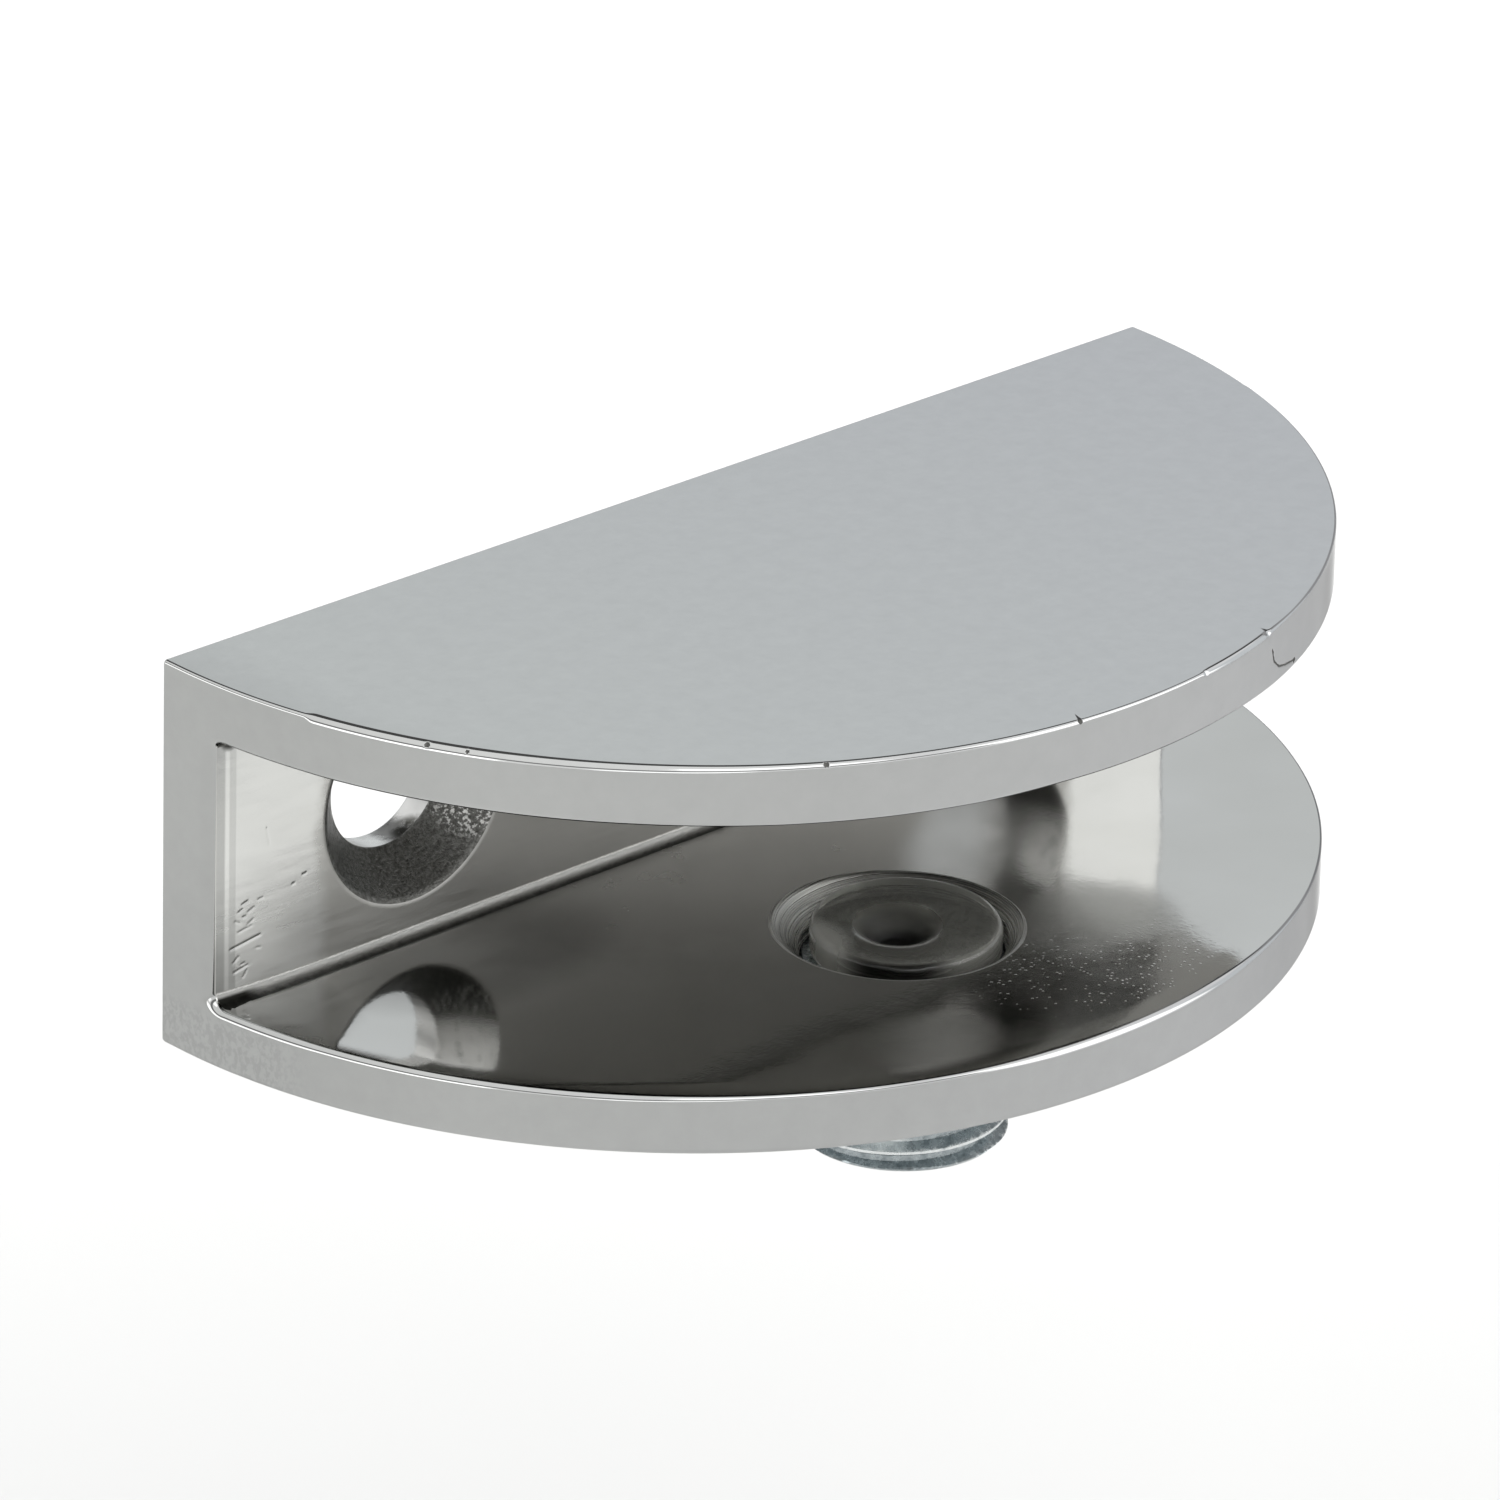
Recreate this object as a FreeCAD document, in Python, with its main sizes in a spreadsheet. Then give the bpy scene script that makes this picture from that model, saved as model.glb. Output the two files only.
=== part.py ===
import FreeCAD, Part
import math
import os
import Sketcher

# Glass shelf clamp: a half-round cast body with a slot for the glass, a set
# screw through the lower plate and a plastic pad on the screw's end.
# Frame: +X along the width, -Y out of the wall, +Z up.  The origin is midway
# between the two wall-screw holes, on the wall face.

V = FreeCAD.Vector
doc = FreeCAD.newDocument("shelf_clamp")

# ---------------------------------------------------------------- dimensions
sheet = doc.addObject("Spreadsheet::Sheet", "dims")
sheet.Label = "dims"
TABLE = [
    # cast body
    ("body_width", 60.0),        # across the wall face
    ("side_straight", 1.0),      # straight run before the half round starts
    ("body_height", 18.8),
    ("plate_thick", 2.9),        # upper and lower plate
    ("wall_thick", 3.4),         # plate against the wall
    ("slot_fillet", 0.5),        # inside corners of the glass slot
    ("edge_round", 0.3),         # outer edges, broken by polishing
    ("hole_spacing", 36.0),      # wall screws
    ("hole_height", 10.0),       # wall screws above the underside
    ("hole_dia", 6.6),
    ("sink_dia", 10.5),
    ("sink_angle", 90.0),
    ("bore_dia", 10.1),          # major diameter of the screw hole
    ("bore_setback", 16.7),      # screw axis out from the wall
    ("bore_chamfer", 0.3),       # lead-in from below
    ("rim_dia", 11.46),          # countersunk rim on the slot side
    ("rim_depth", 1.2),          # depth of the cone at its axis
    ("rim_shift", -0.5),         # that rim was cut off centre
    # set screw
    ("screw_dia", 9.9),          # over the thread crests
    ("screw_len", 8.65),
    ("screw_drop", 7.4),         # how far it stands below the underside
    ("screw_chamfer", 0.3),
    ("socket_flats", 5.0),       # hexagon socket
    ("socket_depth", 4.0),
    ("seat_dia", 3.8),           # blind hole for the pad's stem
    ("seat_depth", 2.4),
    # pad
    ("pad_dia", 8.8),
    ("pad_thick", 1.4),
    ("pad_rim", 0.35),           # rounded upper rim
    ("pad_foot", 0.15),          # chamfer round the underside
    ("recess_dia", 3.6),
    ("recess_floor", 2.6),
    ("recess_depth", 0.8),
    ("stem_dia", 2.9),
    ("stem_len", 1.9),
    ("pad_rise", 0.1),           # top of the pad above the lower plate
    ("pad_shift_x", 0.05),       # the pad sits a little off the axis
    ("pad_shift_y", 0.0),
    ("pad_tilt_x", 2.2),         # and a little askew, in degrees
    ("pad_tilt_y", -2.0),
]
for row, (alias, value) in enumerate(TABLE, start=1):
    sheet.set("A%d" % row, alias)
    sheet.set("B%d" % row, str(value))
    sheet.setAlias("B%d" % row, alias)
doc.recompute()


def dim(alias):
    return float(sheet.get(alias))


# ------------------------------------------------------------------- helpers
def plane(body, role):
    for feature in body.Origin.OriginFeatures:
        if feature.Role == role:
            return feature
    raise RuntimeError("no origin plane " + role)


def sketch_on(body, name, role, offset=None):
    sk = body.newObject("Sketcher::SketchObject", name)
    sk.AttachmentSupport = [(plane(body, role), "")]
    sk.MapMode = "FlatFace"
    if offset:
        sk.setExpression("AttachmentOffset.Base.z", offset)
    return sk


def rule(sk, *args):
    return sk.addConstraint(Sketcher.Constraint(*args))


def size(sk, name, expression, *args):
    index = rule(sk, *args)
    sk.renameConstraint(index, name)
    sk.setExpression("Constraints." + name, expression)


def line(sk, a, b):
    return sk.addGeometry(Part.LineSegment(V(a[0], a[1], 0), V(b[0], b[1], 0)), False)


def arc(sk, c, r, a0, a1):
    circle = Part.Circle(V(c[0], c[1], 0), V(0, 0, 1), r)
    return sk.addGeometry(Part.ArcOfCircle(circle, math.radians(a0), math.radians(a1)), False)


def polygon(sk, points):
    """Closed run of lines, joined end to start; returns their indices."""
    ids = [line(sk, points[i], points[(i + 1) % len(points)]) for i in range(len(points))]
    for i, g in enumerate(ids):
        rule(sk, "Coincident", g, 2, ids[(i + 1) % len(ids)], 1)
    return ids


def check_cut(body, before, what):
    doc.recompute()
    after = body.Shape.Volume
    if not after < before - 1e-3:
        raise RuntimeError(what + " removed nothing")
    return after


# ================================================================= cast body
body = doc.addObject("PartDesign::Body", "clamp_body")
body.Label = "clamp_body"

W, S = dim("body_width"), dim("side_straight")
H, T, B = dim("body_height"), dim("plate_thick"), dim("wall_thick")

# Outline seen from above: straight wall side, short straight ends, half round.
outline = sketch_on(body, "outline", "XY_Plane")
g_back = line(outline, (-W / 2, 0), (W / 2, 0))
g_right = line(outline, (W / 2, 0), (W / 2, -S))
g_front = arc(outline, (0, -S), W / 2, 180, 360)
g_left = line(outline, (-W / 2, -S), (-W / 2, 0))
rule(outline, "Coincident", g_back, 2, g_right, 1)
rule(outline, "Coincident", g_left, 2, g_back, 1)
rule(outline, "Tangent", g_right, 2, g_front, 2)
rule(outline, "Tangent", g_front, 1, g_left, 1)
rule(outline, "Horizontal", g_back)
rule(outline, "Vertical", g_right)
rule(outline, "Vertical", g_left)
rule(outline, "Symmetric", g_back, 1, g_back, 2, -1, 1)
size(outline, "width", "dims.body_width", "DistanceX", g_back, 1, g_back, 2, W)
size(outline, "straight", "dims.side_straight", "DistanceY", g_right, 2, g_right, 1, S)

block = body.newObject("PartDesign::Pad", "block")
block.Profile = outline
block.setExpression("Length", "dims.body_height")
doc.recompute()
volume = body.Shape.Volume

# Slot for the glass, open at the front and both ends, with small inside fillets.
slot_sketch = sketch_on(body, "slot_profile", "YZ_Plane")
R = dim("slot_fillet")
far = -(W / 2 + S + 6)
s_low = line(slot_sketch, (far, T), (-B - R, T))
s_fil1 = arc(slot_sketch, (-B - R, T + R), R, -90, 0)
s_wall = line(slot_sketch, (-B, T + R), (-B, H - T - R))
s_fil2 = arc(slot_sketch, (-B - R, H - T - R), R, 0, 90)
s_high = line(slot_sketch, (-B - R, H - T), (far, H - T))
s_mouth = line(slot_sketch, (far, H - T), (far, T))
rule(slot_sketch, "Tangent", s_low, 2, s_fil1, 1)
rule(slot_sketch, "Tangent", s_fil1, 2, s_wall, 1)
rule(slot_sketch, "Tangent", s_wall, 2, s_fil2, 1)
rule(slot_sketch, "Tangent", s_fil2, 2, s_high, 1)
rule(slot_sketch, "Coincident", s_high, 2, s_mouth, 1)
rule(slot_sketch, "Coincident", s_mouth, 2, s_low, 1)
rule(slot_sketch, "Horizontal", s_low)
rule(slot_sketch, "Horizontal", s_high)
rule(slot_sketch, "Vertical", s_wall)
rule(slot_sketch, "Vertical", s_mouth)
rule(slot_sketch, "Equal", s_fil1, s_fil2)
size(slot_sketch, "fillet", "dims.slot_fillet", "Radius", s_fil1, R)
size(slot_sketch, "wall", "dims.wall_thick", "DistanceX", s_wall, 1, -1, 1, B)
size(slot_sketch, "floor", "dims.plate_thick", "DistanceY", -1, 1, s_low, 1, T)
size(slot_sketch, "gap", "dims.body_height - 2 * dims.plate_thick",
     "DistanceY", s_low, 1, s_high, 2, H - 2 * T)
size(slot_sketch, "mouth", "dims.body_width / 2 + dims.side_straight + 6",
     "DistanceX", s_mouth, 1, -1, 1, -far)

slot = body.newObject("PartDesign::Pocket", "glass_slot")
slot.Profile = slot_sketch
slot.Type = "ThroughAll"
slot.Midplane = True
volume = check_cut(body, volume, "glass slot")

# Two wall-screw holes, countersunk from inside the slot.
holes_sketch = sketch_on(body, "wall_hole_centres", "XZ_Plane", "dims.wall_thick")
E, Z0, RH = dim("hole_spacing"), dim("hole_height"), dim("hole_dia") / 2
h_left = holes_sketch.addGeometry(Part.Circle(V(-E / 2, Z0, 0), V(0, 0, 1), RH), False)
h_right = holes_sketch.addGeometry(Part.Circle(V(E / 2, Z0, 0), V(0, 0, 1), RH), False)
rule(holes_sketch, "Equal", h_left, h_right)
rule(holes_sketch, "Symmetric", h_left, 3, h_right, 3, -2)
size(holes_sketch, "spacing", "dims.hole_spacing", "DistanceX", h_left, 3, h_right, 3, E)
size(holes_sketch, "height", "dims.hole_height", "DistanceY", -1, 1, h_right, 3, Z0)
size(holes_sketch, "radius", "dims.hole_dia / 2", "Radius", h_left, RH)
doc.recompute()

wall_holes = body.newObject("PartDesign::Hole", "wall_holes")
wall_holes.Profile = holes_sketch
doc.recompute()
wall_holes.ThreadType = "None"
wall_holes.DepthType = "ThroughAll"
wall_holes.HoleCutType = "Countersink"
wall_holes.HoleCutCustomValues = True
wall_holes.setExpression("Diameter", "dims.hole_dia")
wall_holes.setExpression("HoleCutDiameter", "dims.sink_dia")
wall_holes.setExpression("HoleCutCountersinkAngle", "dims.sink_angle")
volume = check_cut(body, volume, "wall holes")

# Screw hole through the lower plate only.
bore_sketch = sketch_on(body, "bore_circle", "XY_Plane")
Y1, RB = dim("bore_setback"), dim("bore_dia") / 2
b_circle = bore_sketch.addGeometry(Part.Circle(V(0, -Y1, 0), V(0, 0, 1), RB), False)
rule(bore_sketch, "PointOnObject", b_circle, 3, -2)
size(bore_sketch, "setback", "dims.bore_setback", "DistanceY", b_circle, 3, -1, 1, Y1)
size(bore_sketch, "radius", "dims.bore_dia / 2", "Radius", b_circle, RB)

bore = body.newObject("PartDesign::Pocket", "screw_bore")
bore.Profile = bore_sketch
bore.Reversed = True
bore.setExpression("Length", "dims.plate_thick + 1")
volume = check_cut(body, volume, "screw bore")


def rim_edges(shape, radius, heights):
    names = []
    for i, e in enumerate(shape.Edges, start=1):
        c = e.Curve
        if isinstance(c, Part.Circle) and abs(c.Radius - radius) < 1e-3:
            if abs(c.Center.x) < 1e-3 and abs(c.Center.y + Y1) < 1e-3:
                if any(abs(c.Center.z - z) < 1e-3 for z in heights):
                    names.append("Edge%d" % i)
    return names


# Countersunk rim on the slot side: a 45 degree cone whose axis is off the bore's.
rim_sketch = sketch_on(body, "rim_cone", "XZ_Plane", "dims.bore_setback")
rim_sketch.setExpression("AttachmentOffset.Base.x", "dims.rim_shift")
RM, DM = dim("rim_dia") / 2, dim("rim_depth")
k = polygon(rim_sketch, [(0, T), (0, T - DM), (RM - DM, T - DM), (RM, T)])
rule(rim_sketch, "PointOnObject", k[0], 1, -2)
rule(rim_sketch, "Vertical", k[0])
rule(rim_sketch, "Horizontal", k[1])
rule(rim_sketch, "Horizontal", k[3])
size(rim_sketch, "level", "dims.plate_thick", "DistanceY", -1, 1, k[0], 1, T)
size(rim_sketch, "depth", "dims.rim_depth", "DistanceY", k[0], 2, k[0], 1, DM)
size(rim_sketch, "rim", "dims.rim_dia / 2", "DistanceX", -1, 1, k[2], 2, RM)
size(rim_sketch, "slope", "dims.rim_depth", "DistanceX", k[2], 1, k[2], 2, DM)

rim = body.newObject("PartDesign::Groove", "bore_rim")
rim.Profile = rim_sketch
rim.ReferenceAxis = (rim_sketch, ["V_Axis"])
rim.Angle = 360.0
volume = check_cut(body, volume, "bore rim")

lead_in = body.newObject("PartDesign::Chamfer", "bore_lead_in")
lead_in.Base = (rim, rim_edges(rim.Shape, RB, (0.0,)))
lead_in.setExpression("Size", "dims.bore_chamfer")
volume = check_cut(body, volume, "bore lead-in")


# Edges where the outer rounded wall meets the plates and the slot.
def on_outline(p):
    if p.y > -S:
        return abs(abs(p.x) - W / 2) < 1e-3
    return abs(math.hypot(p.x, p.y + S) - W / 2) < 1e-3


def outer_edges(shape):
    names = []
    for i, e in enumerate(shape.Edges, start=1):
        pts = e.discretize(5)
        if not all(on_outline(p) for p in pts):
            continue
        if all(p.y > -1e-3 for p in pts):
            continue                      # corners of the wall face
        upright = abs(pts[0].x - pts[-1].x) < 1e-6 and abs(pts[0].y - pts[-1].y) < 1e-6
        if upright and abs(pts[0].y + S) < 1e-3:
            continue                      # smooth joint of straight end and half round
        names.append("Edge%d" % i)
    return names


rounding = body.newObject("PartDesign::Fillet", "edge_rounding")
rounding.Base = (lead_in, outer_edges(lead_in.Shape))
rounding.setExpression("Radius", "dims.edge_round")
volume = check_cut(body, volume, "edge rounding")

body.setExpression("Placement.Base.z", "-dims.hole_height")

# ================================================================= set screw
screw = doc.addObject("PartDesign::Body", "clamp_screw")
screw.Label = "clamp_screw"
RS, L, C = dim("screw_dia") / 2, dim("screw_len"), dim("screw_chamfer")
RK, K = dim("seat_dia") / 2, dim("seat_depth")

turned = sketch_on(screw, "turned_profile", "XZ_Plane")
pts = [(0, 0), (RS - C, 0), (RS, C), (RS, L - C), (RS - C, L), (RK, L), (RK, L - K), (0, L - K)]
t = polygon(turned, pts)
rule(turned, "Coincident", t[0], 1, -1, 1)
for g in (t[0], t[4], t[6]):
    rule(turned, "Horizontal", g)
for g in (t[2], t[5], t[7]):
    rule(turned, "Vertical", g)
size(turned, "outer", "dims.screw_dia / 2", "DistanceX", -1, 1, t[2], 1, RS)
size(turned, "tip_c_x", "dims.screw_chamfer", "DistanceX", t[0], 2, t[1], 2, C)
size(turned, "tip_c_z", "dims.screw_chamfer", "DistanceY", t[0], 2, t[1], 2, C)
size(turned, "length", "dims.screw_len", "DistanceY", -1, 1, t[4], 1, L)
size(turned, "top_c_x", "dims.screw_chamfer", "DistanceX", t[3], 2, t[3], 1, C)
size(turned, "top_c_z", "dims.screw_chamfer", "DistanceY", t[3], 1, t[3], 2, C)
size(turned, "seat_r", "dims.seat_dia / 2", "DistanceX", -1, 1, t[5], 1, RK)
size(turned, "seat_z", "dims.seat_depth", "DistanceY", t[5], 2, t[5], 1, K)

shank = screw.newObject("PartDesign::Revolution", "shank")
shank.Profile = turned
shank.ReferenceAxis = (turned, ["V_Axis"])
shank.Angle = 360.0
doc.recompute()
volume = screw.Shape.Volume

# Hexagon socket in the lower end.
hexagon = sketch_on(screw, "socket_hexagon", "XY_Plane")
AF = dim("socket_flats")
corner = AF / math.sqrt(3.0)
hp = [(corner * math.cos(math.radians(60 * i)), corner * math.sin(math.radians(60 * i))) for i in range(6)]
x = polygon(hexagon, hp)
guide = hexagon.addGeometry(Part.Circle(V(0, 0, 0), V(0, 0, 1), corner), True)
rule(hexagon, "Coincident", guide, 3, -1, 1)
for g in x:
    rule(hexagon, "PointOnObject", g, 1, guide)
for g in x[1:]:
    rule(hexagon, "Equal", x[0], g)
rule(hexagon, "PointOnObject", x[0], 1, -1)
size(hexagon, "flats", "dims.socket_flats / sqrt(3)", "Radius", guide, corner)

socket = screw.newObject("PartDesign::Pocket", "hex_socket")
socket.Profile = hexagon
socket.Reversed = True
socket.setExpression("Length", "dims.socket_depth")
volume = check_cut(screw, volume, "hexagon socket")

screw.setExpression("Placement.Base.y", "-dims.bore_setback")
screw.setExpression("Placement.Base.z", "-dims.hole_height - dims.screw_drop")

# ======================================================================= pad
pad = doc.addObject("PartDesign::Body", "screw_pad")
pad.Label = "screw_pad"
RP, TP, RR, F = dim("pad_dia") / 2, dim("pad_thick"), dim("pad_rim"), dim("pad_foot")
RC, RF, DC = dim("recess_dia") / 2, dim("recess_floor") / 2, dim("recess_depth")
RT, LT = dim("stem_dia") / 2, dim("stem_len")

moulded = sketch_on(pad, "moulded_profile", "XZ_Plane")
m_end = line(moulded, (0, -LT), (RT, -LT))
m_stem = line(moulded, (RT, -LT), (RT, 0))
m_under = line(moulded, (RT, 0), (RP - F, 0))
m_foot = line(moulded, (RP - F, 0), (RP, F))
m_side = line(moulded, (RP, F), (RP, TP - RR))
m_rim = arc(moulded, (RP - RR, TP - RR), RR, 0, 90)
m_top = line(moulded, (RP - RR, TP), (RC, TP))
m_slope = line(moulded, (RC, TP), (RF, TP - DC))
m_floor = line(moulded, (RF, TP - DC), (0, TP - DC))
m_axis = line(moulded, (0, TP - DC), (0, -LT))
chain = [m_end, m_stem, m_under, m_foot, m_side]
for a, b in zip(chain, chain[1:]):
    rule(moulded, "Coincident", a, 2, b, 1)
rule(moulded, "Tangent", m_side, 2, m_rim, 1)
rule(moulded, "Tangent", m_rim, 2, m_top, 1)
chain = [m_top, m_slope, m_floor, m_axis, m_end]
for a, b in zip(chain, chain[1:]):
    rule(moulded, "Coincident", a, 2, b, 1)
for g in (m_end, m_under, m_top, m_floor):
    rule(moulded, "Horizontal", g)
for g in (m_stem, m_side):
    rule(moulded, "Vertical", g)
rule(moulded, "PointOnObject", m_end, 1, -2)
rule(moulded, "PointOnObject", m_floor, 2, -2)
rule(moulded, "PointOnObject", m_under, 1, -1)
size(moulded, "outer", "dims.pad_dia / 2", "DistanceX", -1, 1, m_side, 1, RP)
size(moulded, "thick", "dims.pad_thick", "DistanceY", -1, 1, m_top, 1, TP)
size(moulded, "rim", "dims.pad_rim", "Radius", m_rim, RR)
size(moulded, "foot_x", "dims.pad_foot", "DistanceX", m_foot, 1, m_foot, 2, F)
size(moulded, "foot_z", "dims.pad_foot", "DistanceY", m_foot, 1, m_foot, 2, F)
size(moulded, "recess_r", "dims.recess_dia / 2", "DistanceX", -1, 1, m_slope, 1, RC)
size(moulded, "floor_r", "dims.recess_floor / 2", "DistanceX", -1, 1, m_floor, 1, RF)
size(moulded, "recess_z", "dims.recess_depth", "DistanceY", m_slope, 2, m_slope, 1, DC)
size(moulded, "stem_r", "dims.stem_dia / 2", "DistanceX", -1, 1, m_stem, 1, RT)
size(moulded, "stem_z", "dims.stem_len", "DistanceY", m_stem, 1, m_stem, 2, LT)

disc = pad.newObject("PartDesign::Revolution", "moulded_disc")
disc.Profile = moulded
disc.ReferenceAxis = (moulded, ["V_Axis"])
disc.Angle = 360.0

tilt = FreeCAD.Rotation(V(1, 0, 0), dim("pad_tilt_x")).multiply(
    FreeCAD.Rotation(V(0, 1, 0), dim("pad_tilt_y")))
pad.Placement = FreeCAD.Placement(V(0, 0, 0), tilt)
pad.setExpression("Placement.Base.x", "dims.pad_shift_x")
pad.setExpression("Placement.Base.y", "dims.pad_shift_y - dims.bore_setback")
pad.setExpression("Placement.Base.z",
                  "dims.plate_thick + dims.pad_rise - dims.pad_thick - dims.hole_height")
doc.recompute()

# ------------------------------------------------------------------- results
for obj in doc.Objects:
    if "Invalid" in obj.State or "Error" in obj.State:
        raise RuntimeError("%s is %s" % (obj.Name, obj.State))
PARTS = [body, screw, pad]
for part in PARTS:
    if part.Shape.isNull() or not part.Shape.isValid() or len(part.Shape.Solids) != 1:
        raise RuntimeError(part.Label + " is not one valid solid")

os.makedirs("parts", exist_ok=True)
for part in PARTS:
    part.Shape.exportStep("parts/%s.step" % part.Label)
    box = part.Shape.BoundBox
    print("%-12s %9.2f mm3  x %.2f..%.2f  y %.2f..%.2f  z %.2f..%.2f" % (
        part.Label, part.Shape.Volume, box.XMin, box.XMax, box.YMin, box.YMax, box.ZMin, box.ZMax))
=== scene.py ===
import math

import bpy
import numpy as np
from mathutils import Matrix, Vector
from mathutils.geometry import delaunay_2d_cdt


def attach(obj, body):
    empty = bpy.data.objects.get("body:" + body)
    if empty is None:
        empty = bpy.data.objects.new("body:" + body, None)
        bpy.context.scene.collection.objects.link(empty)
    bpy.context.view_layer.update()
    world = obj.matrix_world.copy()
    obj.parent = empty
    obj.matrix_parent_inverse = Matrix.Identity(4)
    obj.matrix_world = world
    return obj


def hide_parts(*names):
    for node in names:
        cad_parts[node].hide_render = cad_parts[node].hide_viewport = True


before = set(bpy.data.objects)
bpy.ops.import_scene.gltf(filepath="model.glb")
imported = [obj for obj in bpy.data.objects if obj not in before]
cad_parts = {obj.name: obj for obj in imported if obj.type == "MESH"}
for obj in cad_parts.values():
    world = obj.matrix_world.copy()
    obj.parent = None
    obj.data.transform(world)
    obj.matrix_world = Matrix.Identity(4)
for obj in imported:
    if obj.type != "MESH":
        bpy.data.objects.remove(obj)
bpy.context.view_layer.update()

# Everything is worked out in millimetres with z = 0 on the underside of the
# lower plate; LIFT takes that to the part's own frame.
LIFT = -10.0
MM = 0.001

# ------------------------------------------------------------------ dimensions
R0, SIDE, HT = 30.0, 1.0, 18.8           # half round, straight ends, height
PLATE, WALL, FIL = 2.9, 3.4, 0.5         # plates, wall plate, slot fillet
EDGE, EDGE_END = 0.3, 0.18               # rounding of the outer edges, and near the wall plate
EDGE_WALL = 0.5                          # rounding of the wall plate's upright edges
BOW_X, BOW = 22.6, 0.0075                # the wall plate falls back towards its buffed ends
DUB_W, DUB = 1.5, 0.03                   # the lower plate falls off along its front edge
BACK = 0.12                              # break round the wall face
HOLE_X, HOLE_Z, HOLE_R, SINK_R = 18.0, 10.0, 3.3, 5.25
BORE_Y, BORE_R, BORE_C = -16.7, 5.05, 0.3
RIM_R, RIM_E = 5.73, -0.5                # countersunk rim of the bore, cut off centre
PITCH = 1.0
SCREW_LOW, SCREW_TOP, SCREW_C = -7.4, 1.25, 0.3

rng = np.random.default_rng(7)


# --------------------------------------------------------------- mesh patchwork
def unit(v):
    v = np.asarray(v, float)
    return v / np.maximum(np.linalg.norm(v, axis=-1, keepdims=True), 1e-12)


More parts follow.
